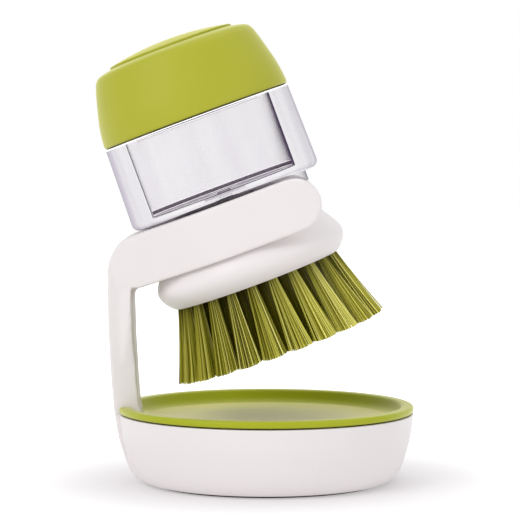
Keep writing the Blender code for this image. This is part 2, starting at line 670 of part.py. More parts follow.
def build_head():
    """The white head: a neck with bayonet slots inside, and the flare that carries the bristles."""
    shoulder = spigot_bottom - 2 * SEAT_GAP - HEAD_SEAL_THICKNESS
    bottom = backing_top + SEAT_GAP
    flare = [point for point in head_outline() if point[1] > bottom]
    outline = [(head_bore, head_top), (collar_radius, head_top), *flare, (head_radius_at(bottom), bottom)]
    outline += [(HEAD_OUTLET, bottom), (HEAD_OUTLET, shoulder - HEAD_FUNNEL_DEPTH)]
    outline += [(funnel_radius, shoulder), (head_bore, shoulder)]
    head = turned("brush_head", outline, [white_plastic], brush_axis)

    low = spigot_bottom + LUG_RISE - RUN_GAP
    high = low + LUG_HEIGHT + 2 * RUN_GAP
    half = LUG_ANGLE / 2 + LUG_SLACK
    entry = (-LOCK_TURN - half, -LOCK_TURN + half)
    steps = (entry[0], -LOCK_TURN, entry[1], (entry[1] + half) / 2, half)
    cells = [(first, last, low, high) for first, last in zip(steps, steps[1:])]
    cells += [(first, last, high, head_top + OVERRUN) for first, last in zip(steps[:2], steps[1:3])]
    reach = spigot_radius + LUG_REACH + RUN_GAP
    inner = head_bore - SPIGOT_WALL
    slots = wrapped("bayonet slots", cells, inner, reach, [white_plastic], brush_axis, LUGS)
    combine(head, slots, "DIFFERENCE")

    seal_outer = head_bore - SEAT_GAP
    seal_bottom = shoulder + SEAT_GAP
    ring("head_seal", seal_outer - HEAD_SEAL_WIDTH, seal_outer, seal_bottom, seal_bottom + HEAD_SEAL_THICKNESS, silicone)


def tuft_strands(circle_share, tufts):
    """A bmesh of one ring of tufts. Every strand is straight, and fans out from its tuft."""
    builder = bmesh.new()
    root_circle = tuft_circle * circle_share
    tip_circle = (tuft_circle + TUFT_FAN) * circle_share
    strand_places = [(0, 0)] + arc((0, 0), TUFT_RADIUS, 0, 360, TUFT_SIDES)[:-1]
    top = head_bottom + BRISTLE_ROOT
    for tuft in range(tufts):
        turn = Matrix.Rotation(math.tau * tuft / tufts, 3, "Z")
        for x, y in strand_places:
            root = turn @ Vector((root_circle + x, y, head_bottom))
            tip = turn @ Vector((tip_circle + x * TUFT_SPREAD, y * TUFT_SPREAD, bristle_tips))
            sunk = root + (root - tip) * (top - head_bottom) / BRISTLE_LENGTH
            loops = []
            for end in (sunk, tip):
                corners = arc((end.x, end.y), BRISTLE_THICKNESS / 2, 0, 360, STRAND_SIDES)[:-1]
                loops.append([builder.verts.new((cx, cy, end.z)) for cx, cy in corners])
            for side in range(STRAND_SIDES):
                after = (side + 1) % STRAND_SIDES
                builder.faces.new((loops[0][side], loops[0][after], loops[1][after], loops[1][side]))
            builder.faces.new(loops[0])
            builder.faces.new(loops[1])
    for face in builder.faces:
        face.material_index = 1
    return builder


def rose_holes():
    builder = bmesh.new()
    low = head_bottom - OVERRUN
    high = backing_top + OVERRUN
    for x, y in arc((0, 0), HEAD_OUTLET - 2 * ROSE_HOLE_RADIUS, 0, 360, ROSE_HOLES)[:-1]:
        place = Matrix.Translation((x, y, (low + high) / 2))
        bmesh.ops.create_cone(
            builder, cap_ends=True, segments=ROSE_HOLE_SIDES, radius1=ROSE_HOLE_RADIUS, radius2=ROSE_HOLE_RADIUS,
            depth=high - low, matrix=place
        )
    return add_object("rose holes", builder, [white_plastic], brush_axis)


def build_bristles():
    """Four rings of tufts, each fused to its own slice of the head's white bottom.

    The innermost slice is a rose: a disc under the head's outlet with small holes that spread the soap.
    """
    circles = [tuft_circle * share for _, _, share in TUFT_RINGS]
    edges = [(outer + inner) / 2 for outer, inner in zip(circles, circles[1:])]
    rim = [point for point in reversed(head_outline()) if point[1] < backing_top]
    rim.append((head_radius_at(backing_top), backing_top))
    for index, (name, tufts, share) in enumerate(TUFT_RINGS):
        inner = edges[index] + SEAT_GAP / 2 if index < len(edges) else 0
        if index > 0:
            outer = edges[index - 1] - SEAT_GAP / 2
            rim = [(outer, head_bottom), (outer, backing_top)]
        outline = [(inner, head_bottom), *rim, (inner, backing_top)]
        both = [white_plastic, bristle_green]
        backing = turned(f"bristles_{name}", outline, both, brush_axis)
        if inner == 0:
            combine(backing, rose_holes(), "DIFFERENCE")
        strands = tuft_strands(share, tufts)
        strands = add_object(f"strands {name}", strands, both, brush_axis)
        combine(backing, strands, "UNION")


def build_cap():
    """The green cap, its threaded liner, and the seal between liner and neck."""
    side = cap_side()
    inside = [(radius - CAP_WALL, height) for radius, height in side[1:] if height < cap_ceiling - 1.5 * CAP_WALL]
    outline = [*side, (button_hole, cap_top), (button_hole, cap_ceiling), (button_hole + CAP_WALL, cap_ceiling)]
    outline += [*reversed(inside), (inside[0][0], cap_bottom)]
    turned("cap_shell", outline, [green_plastic], brush_axis)

    shelf_edge = cap_side_at(liner_top) - CAP_WALL - SEAT_GAP
    outline = [(AIR_HOLE, liner_ceiling), (thread_clear, liner_ceiling), (thread_clear, cap_bottom + SEAT_GAP)]
    outline += [(liner_radius, cap_bottom + SEAT_GAP), (liner_radius, liner_ceiling), (shelf_edge, liner_ceiling)]
    outline += [(shelf_edge, liner_top), (AIR_HOLE, liner_top)]
    liner = turned("cap_liner", outline, [green_plastic], brush_axis)
    start = flange_top + THREAD_START + THREAD_PITCH / 2
    ridge = thread("liner thread", thread_clear, -THREAD_REACH, start, THREAD_TURNS, [green_plastic], brush_axis)
    combine(liner, ridge, "UNION")

    seal_outer = thread_clear - RUN_GAP
    seal_top = cap_seal_bottom + CAP_SEAL_THICKNESS
    ring("cap_seal", seal_outer - CAP_SEAL_WIDTH, seal_outer, cap_seal_bottom, seal_top, silicone)


def build_button():
    """The domed button in the cap's top, and the rubber bellows that it squeezes."""
    dome_edge = cap_top + BUTTON_PROUD
    flange_high = cap_ceiling - SEAT_GAP
    flange_low = flange_high - BUTTON_FLANGE
    spigot_outer = BELLOWS_RADIUS - BELLOWS_FOLD
    spigot_inner = spigot_outer - BUTTON_SPIGOT_WALL
    inner = button_radius - BUTTON_WALL
    bellows_top = flange_low + SEAT_GAP

    def dome_at(radius, drop=0.0):
        """Height of the dome at a radius."""
        return dome_edge + BUTTON_RISE * (1 - (radius / button_radius) ** 2) - drop

    outline = [(0, dome_at(0, BUTTON_WALL)), (spigot_inner, dome_at(spigot_inner, BUTTON_WALL))]
    outline += [(spigot_inner, bellows_top + SEAT_GAP), (spigot_outer, bellows_top + SEAT_GAP)]
    outline += [(spigot_outer, dome_at(spigot_outer, BUTTON_WALL)), (inner, dome_at(inner, BUTTON_WALL))]
    outline += [(inner, flange_low), (button_radius + BUTTON_FLANGE_WIDTH, flange_low)]
    outline += [(button_radius + BUTTON_FLANGE_WIDTH, flange_high), (button_radius, flange_high)]
    outline += [(button_radius, dome_edge - BUTTON_EDGE)]
    outline += [(share * button_radius, dome_at(share * button_radius)) for share in DOME_SHARES]
    outline += [(0, dome_at(0))]
    turned("push_button", outline, [green_plastic], brush_axis)

    low = liner_top + SEAT_GAP
    turned("pump_bellows", bellows_outline(low, bellows_top), [dark_rubber], brush_axis, SMALL_SIDES)


def bellows_outline(low, high):
    """(radius, height) points of the folded wall, from the closed top's underside round to its upper side."""
    fold = (high - BELLOWS_WALL - low) / BELLOWS_FOLDS / 2
    wall = []
    for step in range(2 * BELLOWS_FOLDS + 1):
        radius = BELLOWS_RADIUS - (BELLOWS_FOLD if step % 2 else 0)
        wall.append((radius, low + step * fold))
    inside = [(radius - BELLOWS_WALL, height) for radius, height in wall]
    return [(0, high - BELLOWS_WALL), *reversed(inside), *wall, (wall[-1][0], high), (0, high)]


build_bowl()
build_foot()
build_tray()
build_arm()
build_tank()
build_cup()
build_outlet()
build_head()
build_bristles()
build_cap()
build_button()
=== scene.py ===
"""Palm dish brush with a clear soap tank, hanging in its drip stand.

Metres, +Z up. +X runs from the stand's post to the open side of its cradle, and the camera looks along +Y.
"""

import math

import bmesh
import bpy
from mathutils import Matrix, Vector


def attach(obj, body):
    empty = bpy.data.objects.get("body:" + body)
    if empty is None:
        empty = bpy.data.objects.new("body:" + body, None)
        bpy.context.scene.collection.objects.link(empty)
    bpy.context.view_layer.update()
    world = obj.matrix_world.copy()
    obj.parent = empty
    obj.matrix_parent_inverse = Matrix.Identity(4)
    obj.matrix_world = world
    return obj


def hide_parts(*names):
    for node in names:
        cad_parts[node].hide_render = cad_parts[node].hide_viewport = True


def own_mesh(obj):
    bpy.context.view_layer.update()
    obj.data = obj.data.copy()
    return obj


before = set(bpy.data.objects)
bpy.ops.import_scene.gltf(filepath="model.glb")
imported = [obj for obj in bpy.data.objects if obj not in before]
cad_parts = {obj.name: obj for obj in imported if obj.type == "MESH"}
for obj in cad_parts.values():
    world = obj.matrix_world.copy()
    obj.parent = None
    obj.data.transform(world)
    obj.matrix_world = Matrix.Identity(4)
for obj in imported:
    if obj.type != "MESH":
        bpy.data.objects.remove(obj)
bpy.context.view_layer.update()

MM = 0.001
MICRON = MM / 1000


# Table and camera: a white sweep that keeps the real soft shadow, seen through a long lens from just above
# the tank's foot. Near the base its white glow fades and the eye sees a darker floor than the light that
# bounces off it, a soft halo of painted shade. The light is a large soft box from the left, weaker ones
# from the right and above, and an even white room.

class Value:
    """A number, colour or vector in a node tree. Sums on it add Math nodes to that tree."""

    def __init__(self, network, socket):
        self.network = network
        self.socket = socket

    def __add__(self, other):
        return self.network.maths("ADD", self, other)

    def __sub__(self, other):
        return self.network.maths("SUBTRACT", self, other)

    def __rsub__(self, other):
        return self.network.maths("SUBTRACT", other, self)

    def __mul__(self, other):
        return self.network.maths("MULTIPLY", self, other)

    def __truediv__(self, other):
        return self.network.maths("DIVIDE", self, other)

    def __pow__(self, other):
        return self.network.maths("POWER", self, other)

    __radd__ = __add__
    __rmul__ = __mul__


class Network:
    """A node tree, and the one method that adds nodes to it."""

    def __init__(self, tree):
        self.tree = tree

    def node(self, kind, settings=None, sockets=None, output=0):
        """Adds a node with its settings and its sockets' numbers or links, and gives one of its outputs."""
        made = self.tree.nodes.new(kind)
        for setting, value in (settings or {}).items():
            setattr(made, setting, value)
        for key, value in (sockets or {}).items():
            self.feed(made.inputs[key], value)
        return Value(self, made.outputs[output]) if made.outputs else None

    def feed(self, socket, value):
        """Sets a socket to a plain value, or links it to a node's output."""
        if isinstance(value, Value):
            self.tree.links.new(value.socket, socket)
        else:
            socket.default_value = value

    def maths(self, operation, *terms):
        """A number from one or more numbers."""
        return self.node("ShaderNodeMath", {"operation": operation}, dict(enumerate(terms)))

    def vectors(self, operation, first, second, output=0):
        """A vector, or with LENGTH a number, from vectors."""
        return self.node("ShaderNodeVectorMath", {"operation": operation}, {0: first, 1: second}, output)

    def mix(self, factor, first, second):
        """A colour between two colours."""
        sockets = {0: factor, 6: first, 7: second}
        return self.node("ShaderNodeMix", {"data_type": "RGBA"}, sockets, output=2)

    def part(self, vector, axis):
        """One coordinate of a vector."""
        return self.node("ShaderNodeSeparateXYZ", {}, {0: vector}, axis)

    def eye_rays(self):
        """1 for the rays of the camera, mirrors and glass, and 0 for the light that falls on the object."""
        direct = self.node("ShaderNodeLightPath", output="Is Camera Ray")
        mirrored = self.node("ShaderNodeLightPath", output="Is Glossy Ray")
        through = self.node("ShaderNodeLightPath", output="Is Transmission Ray")
        return self.maths("MAXIMUM", direct + mirrored, through)


room = bpy.data.worlds.new("white room")
bpy.context.scene.world = room
room.use_nodes = True
air = Network(room.node_tree)
air.tree.nodes.clear()
light = air.node("ShaderNodeBackground", {}, {"Color": (0.98, 0.98, 1.0, 1), "Strength": 0.6})
backdrop = air.node("ShaderNodeBackground", {}, {"Color": (1, 1, 1, 1), "Strength": 1.0})
both = air.node("ShaderNodeMixShader", {}, {0: air.eye_rays(), 1: light, 2: backdrop})
air.node("ShaderNodeOutputWorld", {}, {"Surface": both})


def linked(name, builder):
    """A new object in the scene, with the bmesh as its mesh."""
    mesh = bpy.data.meshes.new(name)
    builder.to_mesh(mesh)
    builder.free()
    made = bpy.data.objects.new(name, mesh)
    bpy.context.scene.collection.objects.link(made)
    return made


TABLE_SIZE = 3.0
TABLE_GLOW = 0.13
SHADOW_START = 0.035
SHADOW_END = 0.125
sheet = bmesh.new()
bmesh.ops.create_grid(sheet, x_segments=1, y_segments=1, size=TABLE_SIZE / 2)
table = linked("table", sheet)
table_paint = bpy.data.materials.new("white table")
table_paint.use_nodes = True
surface = Network(table_paint.node_tree)
surface.tree.nodes.clear()
seen = surface.eye_rays()
# painted shade: the eye sees the darker of these two floors, while light bounces off the paler one
bounced = surface.node("ShaderNodeBsdfDiffuse", {}, {"Color": (0.9, 0.88, 0.89, 1)})
shaded = surface.node("ShaderNodeBsdfDiffuse", {}, {"Color": (0.71, 0.68, 0.692, 1)})
matt = surface.node("ShaderNodeMixShader", {}, {0: seen, 1: bounced, 2: shaded})
glow = surface.node("ShaderNodeEmission", {}, {"Color": (1, 1, 1, 1), "Strength": 1.4})
spot = surface.node("ShaderNodeTexCoord", output="Object")
distance = surface.vectors("LENGTH", spot, (0, 0, 0), "Value")
sockets = {"Value": distance, "From Min": SHADOW_START, "From Max": SHADOW_END, "To Min": 0.1, "To Max": 1}
halo_fade = surface.node("ShaderNodeMapRange", {"interpolation_type": "SMOOTHSTEP"}, sockets)
share = TABLE_GLOW + seen * halo_fade * (1 - TABLE_GLOW)
both = surface.node("ShaderNodeMixShader", {}, {0: share, 1: matt, 2: glow})
surface.node("ShaderNodeOutputMaterial", {}, {"Surface": both})
table.data.materials.append(table_paint)

CAMERA_ASIDE = -1.92
CAMERA_DISTANCE = 765
CAMERA_HEIGHT = 112.8
CAMERA_DIP = 3.12
lens = bpy.data.cameras.new("camera")
lens.sensor_width = 36
lens.lens = 165.6
camera = bpy.data.objects.new("camera", lens)
camera.location = (CAMERA_ASIDE * MM, -CAMERA_DISTANCE * MM, CAMERA_HEIGHT * MM)
camera.rotation_euler = (math.radians(90 - CAMERA_DIP), 0, 0)
bpy.context.scene.collection.objects.link(camera)
bpy.context.scene.camera = camera
bpy.context.scene.view_settings.view_transform = "Standard"

LAMP_TARGET = Vector((0, 0, 0.08))
for name, place, size, watts in (
    ("left soft box", (-0.75, -0.8, 0.7), 0.7, 6.0),
    ("right soft box", (0.9, -0.6, 0.25), 0.6, 2.4),
    ("top soft box", (0.1, 0.2, 1.1), 0.8, 3.0),
):
    soft_box = bpy.data.lights.new(name, "AREA")
    soft_box.size = size
    soft_box.energy = watts
    lamp = bpy.data.objects.new(name, soft_box)
    lamp.location = place
    lamp.rotation_euler = (LAMP_TARGET - Vector(place)).to_track_quat("-Z", "Y").to_euler()
    bpy.context.scene.collection.objects.link(lamp)


# Foot pad: a disc of dark rubber under the base that stops it sliding in a wet sink. It is pressed into the
# bowl's recess and holds the bowl 0.5 mm off the table. Its thin lip reaches out to the bowl's edge as
# painted shade: the dark rubber there stands for the contact shadow, so a dark line shows where the two
# meet.

class Finish(Network):
    """A material with one Principled shader, whose plain values are given by the names of its sockets."""

    def __init__(self, name, **plain):
        self.material = bpy.data.materials.new(name)
        self.material.use_nodes = True
        super().__init__(self.material.node_tree)
        self.shader = self.tree.nodes["Principled BSDF"]
        for socket, value in plain.items():
            self.set(socket.replace("_", " "), value)

    def set(self, socket, value):
        """Sets or links one of the shader's sockets."""
        self.feed(self.shader.inputs[socket], value)

    def noise(self, scale, detail=2.0, stretch=(1, 1, 1), turn=0.0):
        """Soft noise from 0 to 1, fixed to the piece, and turned about Y."""
        place = self.node("ShaderNodeTexCoord", output="Object")
        place = self.node("ShaderNodeMapping", {}, {"Vector": place, "Rotation": (0, turn, 0)})
        place = self.node("ShaderNodeMapping", {}, {"Vector": place, "Scale": stretch})
        return self.node("ShaderNodeTexNoise", {}, {"Vector": place, "Scale": scale, "Detail": detail})

    def edge_on(self, power):
        """0 where the surface faces the eye, rising to 1 where it is seen edge-on."""
        return self.node("ShaderNodeLayerWeight", {}, {"Blend": 0.5}, "Facing") ** power

    def graded(self, axis, start, end):
        """A number that changes along an axis, given at two places as (millimetres, number)."""
        place = self.part(self.node("ShaderNodeTexCoord", output="Object"), axis)
        sockets = {"Value": place, "From Min": start[0] * MM, "From Max": end[0] * MM}
        sockets.update({"To Min": start[1], "To Max": end[1]})
        return self.node("ShaderNodeMapRange", {}, sockets)

    def bump(self, height, depth, strength):
        """Makes the surface look rough where a number changes."""
        sockets = {"Height": height, "Distance": depth, "Strength": strength}
        self.set("Normal", self.node("ShaderNodeBump", {}, sockets))


def rounded(corners, steps=6):
    """Outline points of (radius, height, round) corners in millimetres, each corner drawn as an arc."""
    points = []
    count = len(corners)
    for index, (radius, height, bend) in enumerate(corners):
        corner = Vector((radius, height))
        if bend == 0:
            points.append(corner)
            continue
        start = Vector(corners[index - 1][:2]) - corner
        end = Vector(corners[(index + 1) % count][:2]) - corner
        half = start.angle(end) / 2
        reach = min(bend / math.tan(half), 0.49 * start.length, 0.49 * end.length)
        bend = reach * math.tan(half)
        centre = corner + (start.normalized() + end.normalized()).normalized() * bend / math.sin(half)
        first = corner + start.normalized() * reach - centre
        turn = first.angle_signed(corner + end.normalized() * reach - centre)
        for step in range(steps + 1):
            points.append(centre + Matrix.Rotation(-turn * step / steps, 2) @ first)
    return [(point.x * MM, point.y * MM) for point in points]


def lathe(outline, place=Matrix(), sides=128):
    """A bmesh turned about Z from (radius, height) points, whose ends lie on the axis or meet each other."""
    builder = bmesh.new()
    turns = [math.tau * side / sides for side in range(sides)]
    rings = []
    for radius, height in outline:
        if radius < MICRON:
            rings.append([builder.verts.new((0, 0, height))] * sides)
        else:
            circle = [(radius * math.cos(turn), radius * math.sin(turn), height) for turn in turns]
            rings.append([builder.verts.new(point) for point in circle])
    pairs = list(zip(rings, rings[1:]))
    if outline[0][0] >= MICRON:
        pairs.append((rings[-1], rings[0]))
    for low, high in pairs:
        for side in range(sides):
            after = (side + 1) % sides
            loop = list(dict.fromkeys((low[side], low[after], high[after], high[side])))
            if len(loop) > 2:
                builder.faces.new(loop)
    bmesh.ops.recalc_face_normals(builder, faces=builder.faces)
    bmesh.ops.transform(builder, matrix=place, verts=builder.verts)
    return builder


def finished(name, builder, body, finishes, replaced=(), sharp=40):
    """Makes the bmesh a piece that rides on a body, and stands for the CAD nodes that it replaces."""
    piece = linked(name, builder)
    piece.data.shade_smooth()
    piece.data.set_sharp_from_angle(angle=math.radians(sharp))
    for finish in finishes:
        piece.data.materials.append(finish.material)
    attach(piece, body)
    if replaced:
        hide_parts(*replaced)
    return piece


FOOT_RADIUS = 33.0
FOOT_THICKNESS = 1.5
# the lip is painted shade, a dark ring that stands for the contact shadow at the bowl's edge
FOOT_SHADE_LIP = 36.8
FOOT_SHADE_LIP_THICKNESS = 0.45
FOOT_GROOVES = (12, 20, 28)
GROOVE_DEPTH = 0.5
rubber = Finish("foot rubber", Base_Color=(0.035, 0.034, 0.034, 1), Roughness=0.8)
speckle = rubber.noise(900)
rubber.set("Roughness", 0.7 + speckle * 0.2)
rubber.bump(speckle, 0.15 * MM, 0.4)
pad_corners = [(0, 0, 0)]
for groove in FOOT_GROOVES:
    pad_corners += [(groove - 0.6, 0, 0.1), (groove - 0.3, GROOVE_DEPTH, 0.1)]
    pad_corners += [(groove + 0.3, GROOVE_DEPTH, 0.1), (groove + 0.6, 0, 0.1)]
pad_corners += [(FOOT_SHADE_LIP, 0, 0.1), (FOOT_SHADE_LIP, FOOT_SHADE_LIP_THICKNESS, 0.1)]
pad_corners += [(FOOT_RADIUS, FOOT_SHADE_LIP_THICKNESS, 0), (FOOT_RADIUS, FOOT_THICKNESS, 0)]
pad_corners += [(0, FOOT_THICKNESS, 0)]
finished("foot", lathe(rounded(pad_corners, 3)), "stand", [rubber], ["foot_pad"])


# Base bowl: a round bowl moulded in satin white plastic, with a wall of 2.2 mm. It is heavy enough to keep
# the brush upright, and its rim carries the drip tray.

BOWL_RADIUS = 47.3
BOWL_HEIGHT = 22.3
BOWL_WALL = 2.2
BOWL_LIFT = 0.5
BOWL_RIM = BOWL_HEIGHT - 0.2
BOWL_FLOOR = 3.8
BOWL_FLOOR_RADIUS = 38
BOWL_SIDE_START = 6
RECESS_RADIUS = FOOT_RADIUS + 0.3
RECESS_TOP = 1.8
bowl_side = [(0.782, 0), (0.846, 0.022), (0.884, 0.085), (0.914, 0.19), (0.94, 0.34), (0.981, 0.662), (1, 1)]


def white_plastic(name):
    """Satin white moulded plastic with the fine grain of its mould."""
    finish = Finish(name, Base_Color=(0.79, 0.75, 0.745, 1), Roughness=0.42)
    cloud = finish.noise(35, 3)
    finish.set("Base Color", finish.mix(cloud, (0.805, 0.755, 0.75, 1), (0.775, 0.745, 0.74, 1)))
    finish.set("Roughness", 0.36 + cloud * 0.14)
    finish.bump(finish.noise(1400, 2), 0.02 * MM, 0.5)
    return finish


def eased(points, steps=6):
    """A smooth curve through the points."""
    curve = []
    ends = [points[0], *points, points[-1]]
    for before, start, end, after in zip(ends, ends[1:], ends[2:], ends[3:]):
        for step in range(steps):
            t = step / steps
            point = []
            for a, b, c, d in zip(before, start, end, after):
                squared = 2 * a - 5 * b + 4 * c - d
                cubed = 3 * b - a - 3 * c + d
                point.append(0.5 * (2 * b + (c - a) * t + squared * t**2 + cubed * t**3))
            curve.append(tuple(point))
    return [*curve, points[-1]]


bowl_white = white_plastic("base white")
side = [(radius * BOWL_RADIUS, BOWL_LIFT + rise * (BOWL_HEIGHT - BOWL_LIFT)) for radius, rise in bowl_side]
side = eased(side)
bowl_corners = [(0, RECESS_TOP, 0), (RECESS_RADIUS, RECESS_TOP, 0.2), (RECESS_RADIUS, BOWL_LIFT, 0.3)]
bowl_corners += [(radius, height, 0) for radius, height in side[:-1]]
bowl_corners += [(BOWL_RADIUS, BOWL_RIM, 0.5), (BOWL_RADIUS - BOWL_WALL, BOWL_RIM, 0.5)]
inner_side = [(radius, height) for radius, height in reversed(side[:-1]) if height > BOWL_SIDE_START]
bowl_corners += [(radius - BOWL_WALL, height, 0) for radius, height in inner_side]
bowl_corners += [(BOWL_FLOOR_RADIUS, BOWL_FLOOR, 2), (0, BOWL_FLOOR, 0)]
finished("base", lathe(rounded(bowl_corners)), "stand", [bowl_white], ["base_bowl"])


# Post and cradle: one white moulding that rises from the rim of the base and carries the brush by its neck.
# All its edges are softly rounded, a web fills the corner under the cradle, and its foot runs down the side
# of the base, where a hidden tongue holds it.

POST_WIDTH = 15.0
POST_PROUD = 0.9
POST_INNER = 40.0
SEAM = BOWL_HEIGHT + 0.3
POST_FOOT_TOP = SEAM + 1.5
ARM_GRID = 0.5
arm_white = white_plastic("arm white")
arm_builder = bmesh.new()
arm_builder.from_mesh(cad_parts["cradle_arm"].data)
bmesh.ops.remove_doubles(arm_builder, verts=arm_builder.verts, dist=MICRON)
foot_outline = [(-radius - POST_PROUD * rise / BOWL_HEIGHT, rise) for radius, rise in side if rise > 1.5]
foot_outline += [(-BOWL_RADIUS - POST_PROUD, POST_FOOT_TOP), (-POST_INNER, POST_FOOT_TOP), (-POST_INNER, 4)]
front = arm_builder.faces.new(
    [arm_builder.verts.new((x * MM, -POST_WIDTH / 2 * MM, z * MM)) for x, z in foot_outline]
)
pushed = bmesh.ops.extrude_face_region(arm_builder, geom=[front])["geom"]
pushed = [corner for corner in pushed if isinstance(corner, bmesh.types.BMVert)]
bmesh.ops.translate(arm_builder, vec=(0, POST_WIDTH * MM, 0), verts=pushed)
bmesh.ops.recalc_face_normals(arm_builder, faces=arm_builder.faces)
web = [(-46, 7.2, 35), (-42, 7.2, 35), (-46.4, 7.4, 62.8), (-42.7, 10.4, 62.8)]
web += [(-46, 0, 35), (-42.7, 0, 62.8)]
for mirror in (-1, 1):
    corners = [arm_builder.verts.new((x * MM, mirror * y * MM, z * MM)) for x, y, z in web]
    bmesh.ops.convex_hull(arm_builder, input=corners)


def applied(shaped, *used_up):
    """The object's mesh after its modifiers. The object goes, and so do those that it used up."""
    mesh = bpy.data.meshes.new_from_object(shaped.evaluated_get(bpy.context.evaluated_depsgraph_get()))
    for used in (shaped, *used_up):
        bpy.data.objects.remove(used)
    return mesh


def softened(builder, voxel, passes):
    """The bmesh as one skin whose edges are rounded, made from a fine grid."""
    rough = linked("rough", builder)
    remesh = rough.modifiers.new("skin", "REMESH")
    remesh.mode = "VOXEL"
    remesh.voxel_size = voxel
    smooth = rough.modifiers.new("smooth", "SMOOTH")
    smooth.factor = 0.5
    smooth.iterations = passes
    skin = bmesh.new()
    skin.from_mesh(applied(rough))
    return skin


arm_skin = softened(arm_builder, ARM_GRID * MM, passes=8)
finished("arm", arm_skin, "stand", [arm_white], ["cradle_arm"], sharp=180)


# Drip tray: a yellow-green dish with a rolled lip that lies loose on the rim of the base, notched round the
# post. It is moulded in satin plastic, and its floor is slightly dished so that water gathers in the middle.

TRAY_RADIUS = 47.5
LIP_WIDTH = 4.0
LIP_TOP = SEAM + 2.1
TRAY_FLOOR_TOP = SEAM - 1.9
TRAY_BOTTOM = SEAM - 4.4
TRAY_GAP = 0.4
BOWL_RADIUS_AT_TRAY = 45.9
NOTCH_HALF = POST_WIDTH / 2 + TRAY_GAP
NOTCH_WALL = 1.5
tray_green = Finish("tray green", Base_Color=(0.37, 0.42, 0.015, 1), Roughness=0.4, Specular_IOR_Level=0.2)
wash = tray_green.noise(25, 3)
tray_green.set("Roughness", 0.35 + wash * 0.1)
# painted sheen and painted light: paler where seen edge-on, strongest on the floor and faint on the lip
painted_sheen = tray_green.edge_on(4) * tray_green.graded("Z", (21.4, 1.6), (23.2, 0.6))
wash = tray_green.mix(wash, (0.385, 0.43, 0.014, 1), (0.36, 0.40, 0.012, 1))
tray_green.set("Base Color", tray_green.mix(painted_sheen, wash, (0.92, 0.86, 0.37, 1)))
tray_green.bump(tray_green.noise(1200, 2), 0.02 * MM, 0.5)
tray_wall = BOWL_RADIUS_AT_TRAY - BOWL_WALL - TRAY_GAP
lip_inner = TRAY_RADIUS - LIP_WIDTH
tray_corners = [(0, TRAY_BOTTOM, 0), (tray_wall, TRAY_BOTTOM, 1.2), (tray_wall, SEAM, 0.2)]
tray_corners += [(TRAY_RADIUS - 0.3, SEAM, 0.5), (TRAY_RADIUS, LIP_TOP, 1.3), (lip_inner, LIP_TOP, 1.2)]
tray_corners += [(lip_inner - 1.6, TRAY_FLOOR_TOP, 4), (20, TRAY_FLOOR_TOP - 0.4, 5)]
tray_corners += [(0, TRAY_FLOOR_TOP - 0.5, 0)]
tray_blank = linked("tray blank", lathe(rounded(tray_corners), sides=160))


def box_tool(name, low, high):
    """A box in millimetres that other shapes are joined to or cut with."""
    builder = bmesh.new()
    bmesh.ops.create_cube(builder, size=1)
    for corner in builder.verts:
        place = [(a + b) / 2 + (b - a) * part for a, b, part in zip(low, high, corner.co)]
        corner.co = Vector(place) * MM
    return linked(name, builder)


def combined(blank, tools, edge, edge_angle):
    """The blank with every tool joined or cut away, and its sharp edges rounded, as a bmesh."""
    for tool, operation in tools:
        step = blank.modifiers.new(tool.name, "BOOLEAN")
        step.operation = operation
        step.solver = "EXACT"
        step.object = tool
    bevel = blank.modifiers.new("edges", "BEVEL")
    bevel.width = edge * MM
    bevel.segments = 3
    bevel.limit_method = "ANGLE"
    bevel.angle_limit = math.radians(edge_angle)
    builder = bmesh.new()
    builder.from_mesh(applied(blank, *(tool for tool, _ in tools)))
    return builder


rim_half = NOTCH_HALF + NOTCH_WALL
rim_outer = math.sqrt(tray_wall**2 - rim_half**2)
notch_end = -POST_INNER + TRAY_GAP
rim = box_tool("rim", (-rim_outer, -rim_half, TRAY_BOTTOM), (notch_end + NOTCH_WALL, rim_half, SEAM - 1.2))
notch = box_tool("notch", (-60, -NOTCH_HALF, 10), (notch_end, NOTCH_HALF, 30))
tray_builder = combined(tray_blank, [(rim, "UNION"), (notch, "DIFFERENCE")], edge=0.7, edge_angle=60)
finished("tray", tray_builder, "tray", [tray_green], ["drip_tray"])


# Tank: a clear outer shell, polished, whose floor is one with a short collar and the spigot that locks the
# head. Its thick foot is painted darkest on the post's side, a painted shade, and one thin painted glint, a
# glowing white band, runs round its top edge. Every level below is measured along the brush from the seam
# under its cap.

AXIS_START = Vector((-22.2277, 0, BOWL_HEIGHT + 94.5981)) * MM
LEAN = math.radians(20.3)
brush = Matrix.Translation(AXIS_START) @ Matrix.Rotation(-LEAN, 4, "Y")
TANK_RADIUS = 31.45
TANK_TOP = -0.225
TANK_BOTTOM = -27.825
TANK_BORE = 28.85
TANK_FLOOR = -25.625
FOOT_RING_BORE = 17
FOOT_RING_RADIUS = 24.5
FLANGE_SEAT_RADIUS = 29.95
FLANGE_SEAT = -0.9
COLLAR_RADIUS = 26.7
COLLAR_BOTTOM = -31.425
SPIGOT_RADIUS = 23.6
SPIGOT_BORE = 21.6
SPIGOT_BOTTOM = -41.025
SNAP_RING_RADIUS = 17.5
SNAP_RING_BORE = 16.3
SNAP_RING_BOTTOM = -30.225
OUTLET_RADIUS = 3.9
WASHER_RADIUS = 7.3
WASHER_SEAT = -26.725


